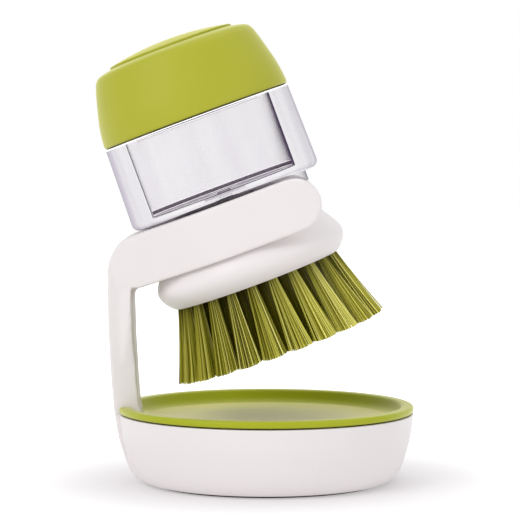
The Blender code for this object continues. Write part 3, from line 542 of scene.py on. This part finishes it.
def clear_plastic(name, tint, edge, thin, thick, power, streaky=0.0, heavier=0.0):
    """Clear plastic: thin is how much it hides where it faces the eye, and thick how much more edge-on.

    Seen edge-on it is painted towards its edge colour, painted shade for the light that dies in it.
    Power sets how narrow that band is, and heavier paints it wider towards the open side.
    """
    finish = Finish(name, Base_Color=(*tint, 1), Roughness=0.05, Specular_IOR_Level=0.0)
    if heavier:
        power = finish.graded("X", (-18, power), (4, power - heavier))
    streaks = 1 + (finish.noise(160, 1, (1, 1, 0.05), LEAN) - 0.5) * streaky
    # painted shade: the dark edge-on band
    painted_edge_shade = finish.edge_on(power) * thick
    cover = (thin * (0.75 + finish.noise(40) * 0.5) + painted_edge_shade) * streaks
    finish.set("Base Color", finish.mix(painted_edge_shade / cover, (*tint, 1), (*edge, 1)))
    finish.set("Alpha", cover)
    return finish


def sorted_faces(builder, finishes, rules):
    """Gives the faces between two radii and two levels of the brush a finish of their own."""
    inverse = brush.inverted()
    for face in builder.faces:
        middle = inverse @ face.calc_center_median() / MM
        radius = middle.xy.length
        for finish, inner, outer, low, high in rules:
            if inner <= radius <= outer and low <= middle.z <= high:
                face.material_index = finishes.index(finish)


shell_clear = clear_plastic("clear shell", (0.56, 0.38, 0.62), (0.25, 0.22, 0.34), 0.075, 0.42, 2.8, 1.8)
rim_clear = clear_plastic("clear rim", (0.92, 0.88, 0.95), (0.92, 0.88, 0.95), 0.015, 0.0, 1)
foot_clear = clear_plastic("clear foot", (0.5, 0.47, 0.53), (0.05, 0.03, 0.08), 0.1, 0.75, 8)
# painted shade: the foot's dark edge is painted heavier on the post's side and fades towards the open side
foot_clear.set("Alpha", foot_clear.graded("X", (-38, 0.6), (-24, 0.06)))
collar_clear = clear_plastic("clear collar", (0.6, 0.55, 0.65), (0.12, 0.1, 0.15), 0.05, 0.8, 3.5)
# painted highlight: this band glows white to stand for a glint
painted_glint = clear_plastic("painted glint", (0.95, 0.94, 0.97), (0.95, 0.94, 0.97), 0.75, 0.0, 1)
painted_glint.set("Emission Color", (0.98, 0.97, 1.0, 1))
painted_glint.set("Emission Strength", 0.7)
shell_corners = [(FLANGE_SEAT_RADIUS, TANK_TOP, 0.2), (TANK_RADIUS - 0.6, TANK_TOP, 0.1)]
shell_corners += [(TANK_RADIUS - 0.59, TANK_TOP - 0.35, 0), (TANK_RADIUS, TANK_BOTTOM, 3.5)]
shell_corners += [(COLLAR_RADIUS, TANK_BOTTOM, 0.3), (COLLAR_RADIUS, COLLAR_BOTTOM, 0.3)]
shell_corners += [(SPIGOT_RADIUS, COLLAR_BOTTOM, 0.2), (SPIGOT_RADIUS, SPIGOT_BOTTOM, 0.3)]
shell_corners += [(SPIGOT_BORE, SPIGOT_BOTTOM, 0.3), (SPIGOT_BORE, TANK_BOTTOM, 0.2)]
shell_corners += [(SNAP_RING_RADIUS, TANK_BOTTOM, 0.2), (SNAP_RING_RADIUS, SNAP_RING_BOTTOM, 0.3)]
shell_corners += [(SNAP_RING_BORE, SNAP_RING_BOTTOM, 0.3), (SNAP_RING_BORE, TANK_BOTTOM, 0.2)]
shell_corners += [(OUTLET_RADIUS, TANK_BOTTOM, 0.2), (OUTLET_RADIUS, WASHER_SEAT, 0)]
shell_corners += [(WASHER_RADIUS, WASHER_SEAT, 0), (WASHER_RADIUS, TANK_FLOOR, 0.2)]
shell_corners += [(FOOT_RING_BORE, TANK_FLOOR, 0), (FOOT_RING_RADIUS, TANK_FLOOR, 0)]
shell_corners += [(TANK_BORE, TANK_FLOOR, 1)]
shell_corners += [(TANK_BORE, FLANGE_SEAT, 0.1), (FLANGE_SEAT_RADIUS, FLANGE_SEAT, 0.1)]
shell_builder = lathe(rounded(shell_corners), brush)
shell_finishes = [shell_clear, rim_clear, foot_clear, collar_clear, painted_glint]
sorted_faces(shell_builder, shell_finishes, [
    (rim_clear, 0, 28.9, -27.5, -0.9),
    (rim_clear, 0, 31, -1, 0),
    (rim_clear, 0, 27, -50, TANK_BOTTOM + 0.1),
    (collar_clear, COLLAR_RADIUS - 0.1, COLLAR_RADIUS + 0.1, COLLAR_BOTTOM + 0.3, TANK_BOTTOM - 0.3),
    (painted_glint, TANK_RADIUS - 0.7, TANK_RADIUS - 0.5, TANK_TOP - 0.3, TANK_TOP - 0.12),
    (foot_clear, COLLAR_RADIUS, 29, TANK_BOTTOM - 0.1, TANK_BOTTOM + 0.2),
    (foot_clear, FOOT_RING_BORE, FOOT_RING_RADIUS, -25.7, -25.5),
])
finished("tank", shell_builder, "tank", shell_finishes, ["tank_shell"])


# Inner cup: a second clear moulding inside the shell that holds the soap. The light dies along its wall and
# the edge of its floor, and this is painted as dark lines of painted shade seen through the shell, wider on
# the open side, with two thin painted glints in the corner. Its flange rests in the shell's top.

CUP_RADIUS = 24.3
CUP_BOTTOM = -25.325
CUP_INSIDE = CUP_RADIUS - 0.5
CUP_FLOOR = -24.9
OUTLET_TUBE_RADIUS = 3.5
OUTLET_TUBE_BORE = 2.3
FLANGE_RADIUS = 29.65
FLANGE_TOP = -0.125
FLANGE_BOTTOM = -0.6
NECK_RADIUS = 22.0
NECK_BORE = NECK_RADIUS - 1.6
NECK_TOP = 10.175
cup_clear = clear_plastic("clear cup", (0.58, 0.40, 0.64), (0.012, 0.006, 0.025), 0.04, 3.0, 13, heavier=8.0)
level_clear = clear_plastic("clear level", (0.72, 0.70, 0.75), (0.25, 0.20, 0.27), 0.2, 0.6, 8)
# painted shade: near-black bands that stand for the dark lines where the light dies in the cup
corner_shade = clear_plastic("painted corner shade", (0.014, 0.008, 0.003), (0.014, 0.008, 0.003), 0.95, 0.0, 1)
line_shade = clear_plastic("painted line shade", (0.06, 0.045, 0.07), (0.06, 0.045, 0.07), 0.8, 0.0, 1)
cup_corners = [(OUTLET_TUBE_BORE, TANK_BOTTOM, 0), (OUTLET_TUBE_RADIUS, TANK_BOTTOM, 0)]
cup_corners += [(OUTLET_TUBE_RADIUS, CUP_BOTTOM, 0.3), (CUP_RADIUS, CUP_BOTTOM, 0)]
cup_corners += [(CUP_RADIUS, CUP_BOTTOM + 0.3, 0), (CUP_RADIUS, FLANGE_BOTTOM, 0)]
cup_corners += [(FLANGE_RADIUS, FLANGE_BOTTOM, 0), (FLANGE_RADIUS, FLANGE_TOP, 0.2)]
cup_corners += [(NECK_RADIUS, FLANGE_TOP, 0.3), (NECK_RADIUS, NECK_TOP, 0.3), (NECK_BORE, NECK_TOP, 0.3)]
cup_corners += [(NECK_BORE, -0.9, 0.5), (CUP_RADIUS - 0.7, -1.6, 0.5)]
cup_corners += [(CUP_RADIUS - 0.52, CUP_FLOOR + 1.65, 0), (CUP_INSIDE, CUP_FLOOR + 1.3, 0)]
cup_corners += [(CUP_INSIDE, CUP_FLOOR + 0.2, 0), (CUP_RADIUS - 0.7, CUP_FLOOR, 0)]
cup_corners += [(5, CUP_FLOOR, 0), (OUTLET_TUBE_BORE, CUP_FLOOR, 0)]
cup_builder = lathe(rounded(cup_corners), brush)
cup_finishes = [cup_clear, rim_clear, level_clear, corner_shade, line_shade, painted_glint]
sorted_faces(cup_builder, cup_finishes, [
    (rim_clear, 0, 24, -24.9, -0.6),
    (rim_clear, 0, 23.4, -25.4, -25.2),
    (rim_clear, 0, 32, -0.65, 12),
    (rim_clear, 0, 8, -30, -24),
    (level_clear, 5, 23.5, CUP_FLOOR - 0.05, CUP_FLOOR + 0.05),
    (corner_shade, 23.65, 23.9, CUP_FLOOR + 0.3, CUP_FLOOR + 1.2),
    (painted_glint, 23.5, 23.9, CUP_FLOOR + 1.35, CUP_FLOOR + 1.6),
    (painted_glint, 23.5, 23.9, CUP_FLOOR + 0.02, CUP_FLOOR + 0.2),
    (line_shade, 24.2, 24.4, CUP_BOTTOM + 0.1, CUP_BOTTOM + 0.2),
])
# the painted shade and painted glints show only on faces towards the eye
for finish in (corner_shade, line_shade, painted_glint):
    behind = finish.node("ShaderNodeNewGeometry", output="Backfacing")
    finish.set("Alpha", 0.95 - behind * 0.93)
finished("cup", cup_builder, "tank", cup_finishes, ["reservoir_cup"])


# Outlet: a washer of milky silicone and an olive slit valve. The washer's glow is painted light, standing
# for the light that soaks through it. A dark olive disc that snaps into a ring under the tank's floor holds
# both up, and its edge is the olive line above the cradle.

DISC_RADIUS = 15.6
DISC_BORE = 3.6
DISC_SEAT_RADIUS = 9.4
DISC_TOP = -29.525
DISC_RIM_TOP = -29.8
DISC_BOTTOM = -31.025
silicone = Finish("milky silicone", Base_Color=(0.8, 0.78, 0.8, 1), Roughness=0.55)
mottle_and_sheen = silicone.noise(300, 3)
silicone.set("Base Color", silicone.mix(mottle_and_sheen, (0.84, 0.82, 0.85, 1), (0.76, 0.74, 0.77, 1)))
silicone.bump(mottle_and_sheen, 0.05 * MM, 0.3)
# painted light: the silicone glows, standing for the light that soaks through it
silicone.set("Emission Color", (0.86, 0.82, 0.88, 1))
silicone.set("Emission Strength", 0.55)
olive = Finish(
    "dark olive plastic", Base_Color=(0.075, 0.075, 0.01, 1), Roughness=0.5, Specular_IOR_Level=0.25
)
olive_grain = olive.noise(1200)
olive.set("Roughness", 0.42 + olive_grain * 0.15)
olive.bump(olive_grain, 0.03 * MM, 0.4)
valve_olive = Finish("olive silicone", Base_Color=(0.06, 0.065, 0.012, 1), Roughness=0.7)
valve_bloom = valve_olive.noise(400, 3)
valve_olive.set("Base Color", valve_olive.mix(valve_bloom, (0.065, 0.07, 0.014, 1), (0.05, 0.055, 0.01, 1)))


def painted(node, finish):
    """Gives a CAD node, which stays as it is, a new material."""
    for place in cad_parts[node].material_slots:
        place.material = finish.material


painted("outlet_washer", silicone)
painted("outlet_valve", valve_olive)
disc_corners = [(DISC_BORE, DISC_TOP, 0.2), (DISC_SEAT_RADIUS, DISC_TOP, 0)]
disc_corners += [(DISC_SEAT_RADIUS, DISC_RIM_TOP, 0), (DISC_RADIUS, DISC_RIM_TOP, 0.4)]
disc_corners += [(DISC_RADIUS, DISC_BOTTOM, 0.4), (DISC_BORE, DISC_BOTTOM, 0.3)]
disc_builder = lathe(rounded(disc_corners), brush, 64)
finished("valve_disc", disc_builder, "tank", [olive], ["valve_retainer"])


# Brush head: a white moulding with a straight neck for the cradle and a soft flare that splashes can't
# climb. It locks on the tank's spigot with a bayonet, and a seal of milky silicone keeps the soap in.

HEAD_TOP = -31.725
HEAD_BORE = 24
FLARE_TOP = -39.725
FLARE_DEPTH = 15.7
FLARE_WIDTH = 4.6
FUNNEL_RADIUS = 19.5
FUNNEL_TOP = -43.3
FUNNEL_BOTTOM = -45.9
HEAD_OUTLET = 4.1
BACKING_TOP = -53.925
HEAD_BOTTOM = -55.425
PLATE_RADIUS = 27.2
flare = [(0, 0), (0.087, 0.081), (0.228, 0.17), (0.457, 0.272), (0.728, 0.4), (0.902, 0.495), (1, 0.591)]
flare += [(0.978, 0.686), (0.848, 0.782), (0.663, 0.865), (0.457, 0.935), (0.196, 1)]
head_white = white_plastic("head white")
painted("head_seal", silicone)
flare = eased([(COLLAR_RADIUS + out * FLARE_WIDTH, FLARE_TOP - fall * FLARE_DEPTH) for out, fall in flare])
head_corners = [(HEAD_BORE, HEAD_TOP, 0.3), (COLLAR_RADIUS, HEAD_TOP, 0.4)]
head_corners += [(radius, height, 0) for radius, height in flare]
head_corners += [(PLATE_RADIUS + 0.1, HEAD_BOTTOM, 0.1), (PLATE_RADIUS + 0.1, BACKING_TOP, 0)]
head_corners += [(HEAD_OUTLET, BACKING_TOP, 0), (HEAD_OUTLET, FUNNEL_BOTTOM, 0.3)]
head_corners += [(FUNNEL_RADIUS, FUNNEL_TOP, 0), (HEAD_BORE, FUNNEL_TOP, 0)]
finished("head", lathe(rounded(head_corners), brush), "head", [head_white], ["brush_head"])


# Bristles: tufts of yellow-green nylon, folded and stapled into the head's white bottom in four rings. Each
# tuft is a tight bundle at its root and fans out towards its trimmed end, where the tufts touch. The inner
# rings and the roots are painted darker, painted shade between the tufts, and the lightest strands get a
# painted highlight.

BRISTLE_TIPS = -78.525
TUFT_CIRCLE = 25.4
TUFT_FAN = 5.9
TUFT_RADIUS = 1.45
TUFT_TIP_DEPTH = 3.7
TUFT_TIP_WIDTH = 3.9
FILAMENTS = 110
FILAMENT_RADIUS = 0.15
PLATE_GAP = 0.15
GOLDEN_TURN = 2.39996
rings = (("outer", 23, 1.0), ("middle", 17, 0.748), ("inner", 11, 0.492), ("core", 6, 0.26))
tuft_inputs = {
    "NodeSocketGeometry": ("Plate",),
    "NodeSocketInt": ("Tufts", "Filaments", "Seed"),
    "NodeSocketFloat": (
        "Root Circle", "Tip Circle", "Root Level", "Tip Level", "Root Spread", "Tip Depth", "Tip Width",
        "Thickness", "Light",
    ),
    "NodeSocketMaterial": ("Nylon",),
}


def tuft_network():
    """A tree that makes one ring of tufts, as three-sided filaments with a few faces each."""
    tree = bpy.data.node_groups.new("tufts", "GeometryNodeTree")
    for kind, labels in tuft_inputs.items():
        for label in labels:
            tree.interface.new_socket(label, in_out="INPUT", socket_type=kind)
    tree.interface.new_socket("Strands", in_out="OUTPUT", socket_type="NodeSocketGeometry")
    net = Network(tree)
    given = tree.nodes.new("NodeGroupInput")

    def put(label):
        return Value(net, given.outputs[label])

    def point(x, y, z=0.0):
        return net.node("ShaderNodeCombineXYZ", {}, {0: x, 1: y, 2: z})

    def random(low, high, seed):
        sockets = {2: low, 3: high, 8: put("Seed") + seed}
        return net.node("FunctionNodeRandomValue", {"data_type": "FLOAT"}, sockets, output=1)

    count = put("Tufts") * put("Filaments")
    index = net.node("GeometryNodeInputIndex")
    tuft = net.maths("FLOOR", index / put("Filaments"))
    within = index - tuft * put("Filaments")
    angle = tuft * math.tau / put("Tufts")
    spiral = within * GOLDEN_TURN + tuft * 1.7
    share = net.maths("SQRT", (within + 0.5) / put("Filaments"))

    def place(circle, depth, width, wander, level):
        """Where the filament stands on its tuft's cross-section, turned to its place in the ring."""
        out = put(circle) + share * net.maths("COSINE", spiral) * put(depth) + wander[0]
        aside = share * net.maths("SINE", spiral) * put(width) + wander[1]
        x = out * net.maths("COSINE", angle) - aside * net.maths("SINE", angle)
        y = out * net.maths("SINE", angle) + aside * net.maths("COSINE", angle)
        return point(x, y, level)

    small = 0.12 * MM
    jitter = (random(-small, small, 1), random(-small, small, 2))
    root = place("Root Circle", "Root Spread", "Root Spread", jitter, put("Root Level"))
    loose = 0.28 * MM
    jitter = (random(-loose, loose, 4), random(-loose, loose, 5))
    tip_level = put("Tip Level") + share * share * 0.5 * MM + random(-0.1 * MM, 0.12 * MM, 3)
    tip = place("Tip Circle", "Tip Depth", "Tip Width", jitter, tip_level)
    points = net.node("GeometryNodePoints", {}, {"Count": count})
    for label, value in (("root", root), ("tip", tip)):
        sockets = {"Geometry": points, "Name": label, 3: value}
        points = net.node("GeometryNodeStoreNamedAttribute", {"data_type": "FLOAT_VECTOR"}, sockets)
    # each strand's tone is random up to the ring's light share, so the inner rings get painted shade
    sockets = {"Geometry": points, "Name": "tone_and_shade", 3: random(0.0, put("Light"), 6)}
    points = net.node("GeometryNodeStoreNamedAttribute", {"data_type": "FLOAT"}, sockets)
    sockets = {"Vertices": 3, "Side Segments": 4, "Radius": 1.0, "Depth": 1.0}
    strand = net.node("GeometryNodeMeshCylinder", {}, sockets)
    strands = net.node("GeometryNodeInstanceOnPoints", {}, {"Points": points, "Instance": strand})
    strands = net.node("GeometryNodeRealizeInstances", {}, {0: strands})

    def stored(label):
        return net.node("GeometryNodeInputNamedAttribute", {"data_type": "FLOAT_VECTOR"}, {"Name": label})

    here = net.node("GeometryNodeInputPosition")
    along = net.part(here, "Z") + 0.5
    sockets = {0: along, 4: stored("root"), 5: stored("tip")}
    line = net.node("ShaderNodeMix", {"data_type": "VECTOR"}, sockets, 1)
    flat = net.vectors("MULTIPLY", net.vectors("SUBTRACT", stored("tip"), stored("root")), (1, 1, 0))
    sockets = {0: flat, "Scale": along * (along - 1) * 0.12}
    bow = net.node("ShaderNodeVectorMath", {"operation": "SCALE"}, sockets)
    width = put("Thickness") * (1.0 + along**3 * 0.15)
    skin = point(net.part(here, "X") * width, net.part(here, "Y") * width)
    moved = net.vectors("ADD", net.vectors("ADD", line, bow), skin)
    sockets = {"Geometry": strands, "Name": "along", 3: along}
    strands = net.node("GeometryNodeStoreNamedAttribute", {"data_type": "FLOAT"}, sockets)
    strands = net.node("GeometryNodeSetPosition", {}, {"Geometry": strands, "Position": moved})
    strands = net.node("GeometryNodeSetMaterial", {}, {"Geometry": strands, "Material": put("Nylon")})
    joined = tree.nodes.new("GeometryNodeJoinGeometry")
    tree.links.new(strands.socket, joined.inputs[0])
    tree.links.new(given.outputs["Plate"], joined.inputs[0])
    out = tree.nodes.new("NodeGroupOutput")
    tree.links.new(joined.outputs[0], out.inputs[0])
    return tree


def made_by(tree, start, values):
    """The mesh that the tree makes from an object, with its inputs set to the values of the same names."""
    modifier = start.modifiers.new("tree", "NODES")
    modifier.node_group = tree
    for item in tree.interface.items_tree:
        if item.in_out == "INPUT" and item.name in values:
            modifier[item.identifier] = values[item.name]
    return applied(start)


nylon = Finish("bristle nylon", Base_Color=(0.38, 0.38, 0.06, 1), Roughness=0.4, Specular_IOR_Level=0.2)
tone_and_shade = nylon.node("ShaderNodeAttribute", {"attribute_name": "tone_and_shade"}, output="Fac")
along = nylon.node("ShaderNodeAttribute", {"attribute_name": "along"}, output="Fac")
# random strand tone, with the inner rings painted darker as painted shade
strand_colour = nylon.mix(tone_and_shade, (0.085, 0.074, 0.002, 1), (0.84, 0.80, 0.05, 1))
# painted highlight: the lightest strands are mixed towards a pale sheen
strand_colour = nylon.mix(tone_and_shade**3 * 0.7, strand_colour, (0.86, 0.82, 0.34, 1))
# painted shade: darker towards the roots
nylon.set("Base Color", nylon.mix((1 - along) ** 3 * 0.6, strand_colour, (0.03, 0.022, 0.004, 1)))
nylon.set("Roughness", 0.32 + tone_and_shade * 0.2)
backing_white = white_plastic("bristle plate white")
tufts = tuft_network()
circles = [TUFT_CIRCLE * share for _, _, share in rings]
plate_edges = [(outer + inner) / 2 for outer, inner in zip(circles, circles[1:])] + [0]
for index, (ring_name, tuft_count, share) in enumerate(rings):
    inner = plate_edges[index] + PLATE_GAP if plate_edges[index] else 0
    outer = plate_edges[index - 1] - PLATE_GAP if index else PLATE_RADIUS
    corners = [(inner, HEAD_BOTTOM, 0), (outer, HEAD_BOTTOM, 0.1)]
    corners += [(outer, BACKING_TOP, 0), (inner, BACKING_TOP, 0)]
    plate = linked("plate", lathe(rounded(corners)))
    plate.data.materials.append(backing_white.material)
    grown = made_by(tufts, plate, {
        "Tufts": tuft_count, "Filaments": FILAMENTS, "Seed": index + 1, "Nylon": nylon.material,
        "Root Circle": TUFT_CIRCLE * share * MM, "Tip Circle": (TUFT_CIRCLE + TUFT_FAN) * share * MM,
        "Root Level": (HEAD_BOTTOM + 0.4) * MM, "Tip Level": BRISTLE_TIPS * MM,
        "Root Spread": TUFT_RADIUS * MM, "Tip Depth": TUFT_TIP_DEPTH * MM, "Tip Width": TUFT_TIP_WIDTH * MM,
        # inner rings are painted darker, painted shade where the outer tufts hide them
        "Thickness": FILAMENT_RADIUS * MM, "Light": 0.22 if index else 1.0,
    })
    grown.transform(brush)
    grown.set_sharp_from_angle(angle=math.radians(40))
    ring_piece = bpy.data.objects.new(f"tufts_{ring_name}", grown)
    bpy.context.scene.collection.objects.link(ring_piece)
    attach(ring_piece, "head")
    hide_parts(f"bristles_{ring_name}")


# Cap: a thick-walled yellow-green screw cap with a dry, soft-touch skin, which narrows towards its crown. A
# threaded liner inside it, with a silicone seal, closes the cup's neck. A thin dark green ring in the seam
# under it is painted shade, standing for the shadow in the gap.

CAP_RADIUS = 31.0
CAP_BOTTOM = 0.225
CAP_HEIGHT = 23.0
CROWN_RADIUS = 20.9
CROWN_TOP = 23.225
CROWN_BOTTOM = 21.725
SEAM_RING_RADIUS = 30.4
SEAM_RING_BORE = 29.2
SEAM_RING_TOP = 0.3
cap_side = [(0.99, 0), (1, 0.03), (0.992, 0.161), (0.972, 0.331), (0.941, 0.501), (0.907, 0.671)]
cap_side += [(0.889, 0.756), (0.868, 0.841), (0.854, 0.884), (0.832, 0.927), (0.806, 0.952), (0.76, 0.973)]


def green_skin(name, mottle_and_sheen=0.9, pale=(0.78, 0.78, 0.30)):
    """Soft-touch yellow-green plastic with a fine dry grain, paler where it is seen edge-on."""
    finish = Finish(name, Base_Color=(0.44, 0.455, 0.03, 1), Roughness=0.55, Specular_IOR_Level=0.35)
    cloud = finish.noise(40, 3)
    skin = finish.mix(cloud, (0.415, 0.42, 0.026, 1), (0.38, 0.39, 0.02, 1))
    # painted sheen: paler where the skin is seen edge-on, as on the crown's rim
    finish.set("Base Color", finish.mix(finish.edge_on(5) * mottle_and_sheen, skin, (*pale, 1)))
    finish.set("Roughness", 0.5 + cloud * 0.12)
    finish.bump(finish.noise(1500, 2), 0.03 * MM, 0.5)
    return finish


cap_green = green_skin("cap green")
painted("cap_liner", green_skin("liner green"))
painted("cap_seal", silicone)
cap_outer = [(CAP_RADIUS * radius, CAP_BOTTOM + CAP_HEIGHT * rise) for radius, rise in cap_side]
cap_outer = cap_outer[:1] + eased(cap_outer[1:] + [(CROWN_RADIUS, CROWN_TOP)])
cap_corners = [(*cap_outer[0], 0.3), *((radius, height, 0) for radius, height in cap_outer[1:-1])]
cap_corners += [(CROWN_RADIUS, CROWN_TOP, 0.35), (CROWN_RADIUS, CROWN_BOTTOM, 0), (22.9, CROWN_BOTTOM, 0.3)]
cap_corners += [(25.8, 18, 0.5), (27.3, 12, 0), (28.2, 8, 0), (28.75, 4, 0), (29, CAP_BOTTOM, 0.2)]
finished("cap", lathe(rounded(cap_corners), brush), "cap", [cap_green], ["cap_shell"])
# painted shade: a near-black ring that stands for the shadow in the gap under the cap
seam_shade = Finish("seam shade", Base_Color=(0.09, 0.09, 0.01, 1), Roughness=0.6, Specular_IOR_Level=0.2)
seam_shade.set("Roughness", 0.55 + seam_shade.noise(900) * 0.15)
ring_corners = [(SEAM_RING_BORE, 0, 0.05), (SEAM_RING_RADIUS, 0, 0.05)]
ring_corners += [(SEAM_RING_RADIUS, SEAM_RING_TOP, 0), (SEAM_RING_BORE, SEAM_RING_TOP, 0)]
finished("cap_seam_shade", lathe(rounded(ring_corners, 3), brush), "cap", [seam_shade])


# Button: the domed green button in the cap's crown, which is pushed with the palm. A skirt holds it under
# the crown, and a ring under its dome presses the bellows.

BUTTON_RADIUS = 20.5
SKIRT_RADIUS = 22.6
SKIRT_BORE = 18.9
SKIRT_TOP = 21.425
SKIRT_BOTTOM = 20.225
PRESS_RING_RADIUS = 9.4
PRESS_RING_BORE = 8
PRESS_RING_BOTTOM = 20.5
DOME_EDGE = 23.975
DOME_RISE = 2.25
DOME_STEPS = 12
button_green = green_skin("button green", 0.74, (0.85, 0.82, 0.26))
dome = []
for step in range(DOME_STEPS, -1, -1):
    rise = DOME_RISE * (1 - (step / DOME_STEPS) ** 2)
    dome.append((BUTTON_RADIUS * step / DOME_STEPS, DOME_EDGE + rise, 0))
button_corners = [(0, 24.5, 0), (PRESS_RING_BORE, 24.2, 0), (PRESS_RING_BORE, PRESS_RING_BOTTOM, 0)]
button_corners += [(PRESS_RING_RADIUS, PRESS_RING_BOTTOM, 0), (PRESS_RING_RADIUS, 23.9, 0)]
button_corners += [(SKIRT_BORE, 22.7, 0), (SKIRT_BORE, SKIRT_BOTTOM, 0), (SKIRT_RADIUS, SKIRT_BOTTOM, 0)]
button_corners += [(SKIRT_RADIUS, SKIRT_TOP, 0), (BUTTON_RADIUS, SKIRT_TOP, 0)]
button_corners += [(BUTTON_RADIUS, DOME_EDGE, 0.35), *dome[1:]]
button_builder = lathe(rounded(button_corners), brush)
finished("button", button_builder, "button", [button_green], ["push_button"])


# Bellows: black rubber in the cap, under the button. It is the pump, which flattens as the button goes down
# and pushes the button back up.

BELLOWS_LOW = 13.875
BELLOWS_TOP = 20.525
BELLOWS_RADIUS = 12.0
BELLOWS_FOLD = 2.6
BELLOWS_WALL = 0.9
black_rubber = Finish("bellows rubber", Base_Color=(0.03, 0.03, 0.03, 1), Roughness=0.65)
bellows_bloom = black_rubber.noise(400, 3)
black_rubber.set("Roughness", 0.55 + bellows_bloom * 0.2)
black_rubber.bump(bellows_bloom, 0.05 * MM, 0.4)
fold_height = (BELLOWS_TOP - BELLOWS_WALL - BELLOWS_LOW) / 4
folds = [(BELLOWS_RADIUS - BELLOWS_FOLD * (step % 2), BELLOWS_LOW + step * fold_height) for step in range(5)]
bellows_corners = [(0, BELLOWS_TOP - BELLOWS_WALL, 0)]
bellows_corners += [(radius - BELLOWS_WALL, height, 0.3) for radius, height in reversed(folds)]
bellows_corners += [(radius, height, 0.4) for radius, height in folds]
bellows_corners += [(BELLOWS_RADIUS, BELLOWS_TOP, 0.3), (0, BELLOWS_TOP, 0)]
bellows_builder = lathe(rounded(bellows_corners, 3), brush, 64)
bellows = finished("bellows", bellows_builder, "cap", [black_rubber], ["pump_bellows"])
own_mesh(bellows)
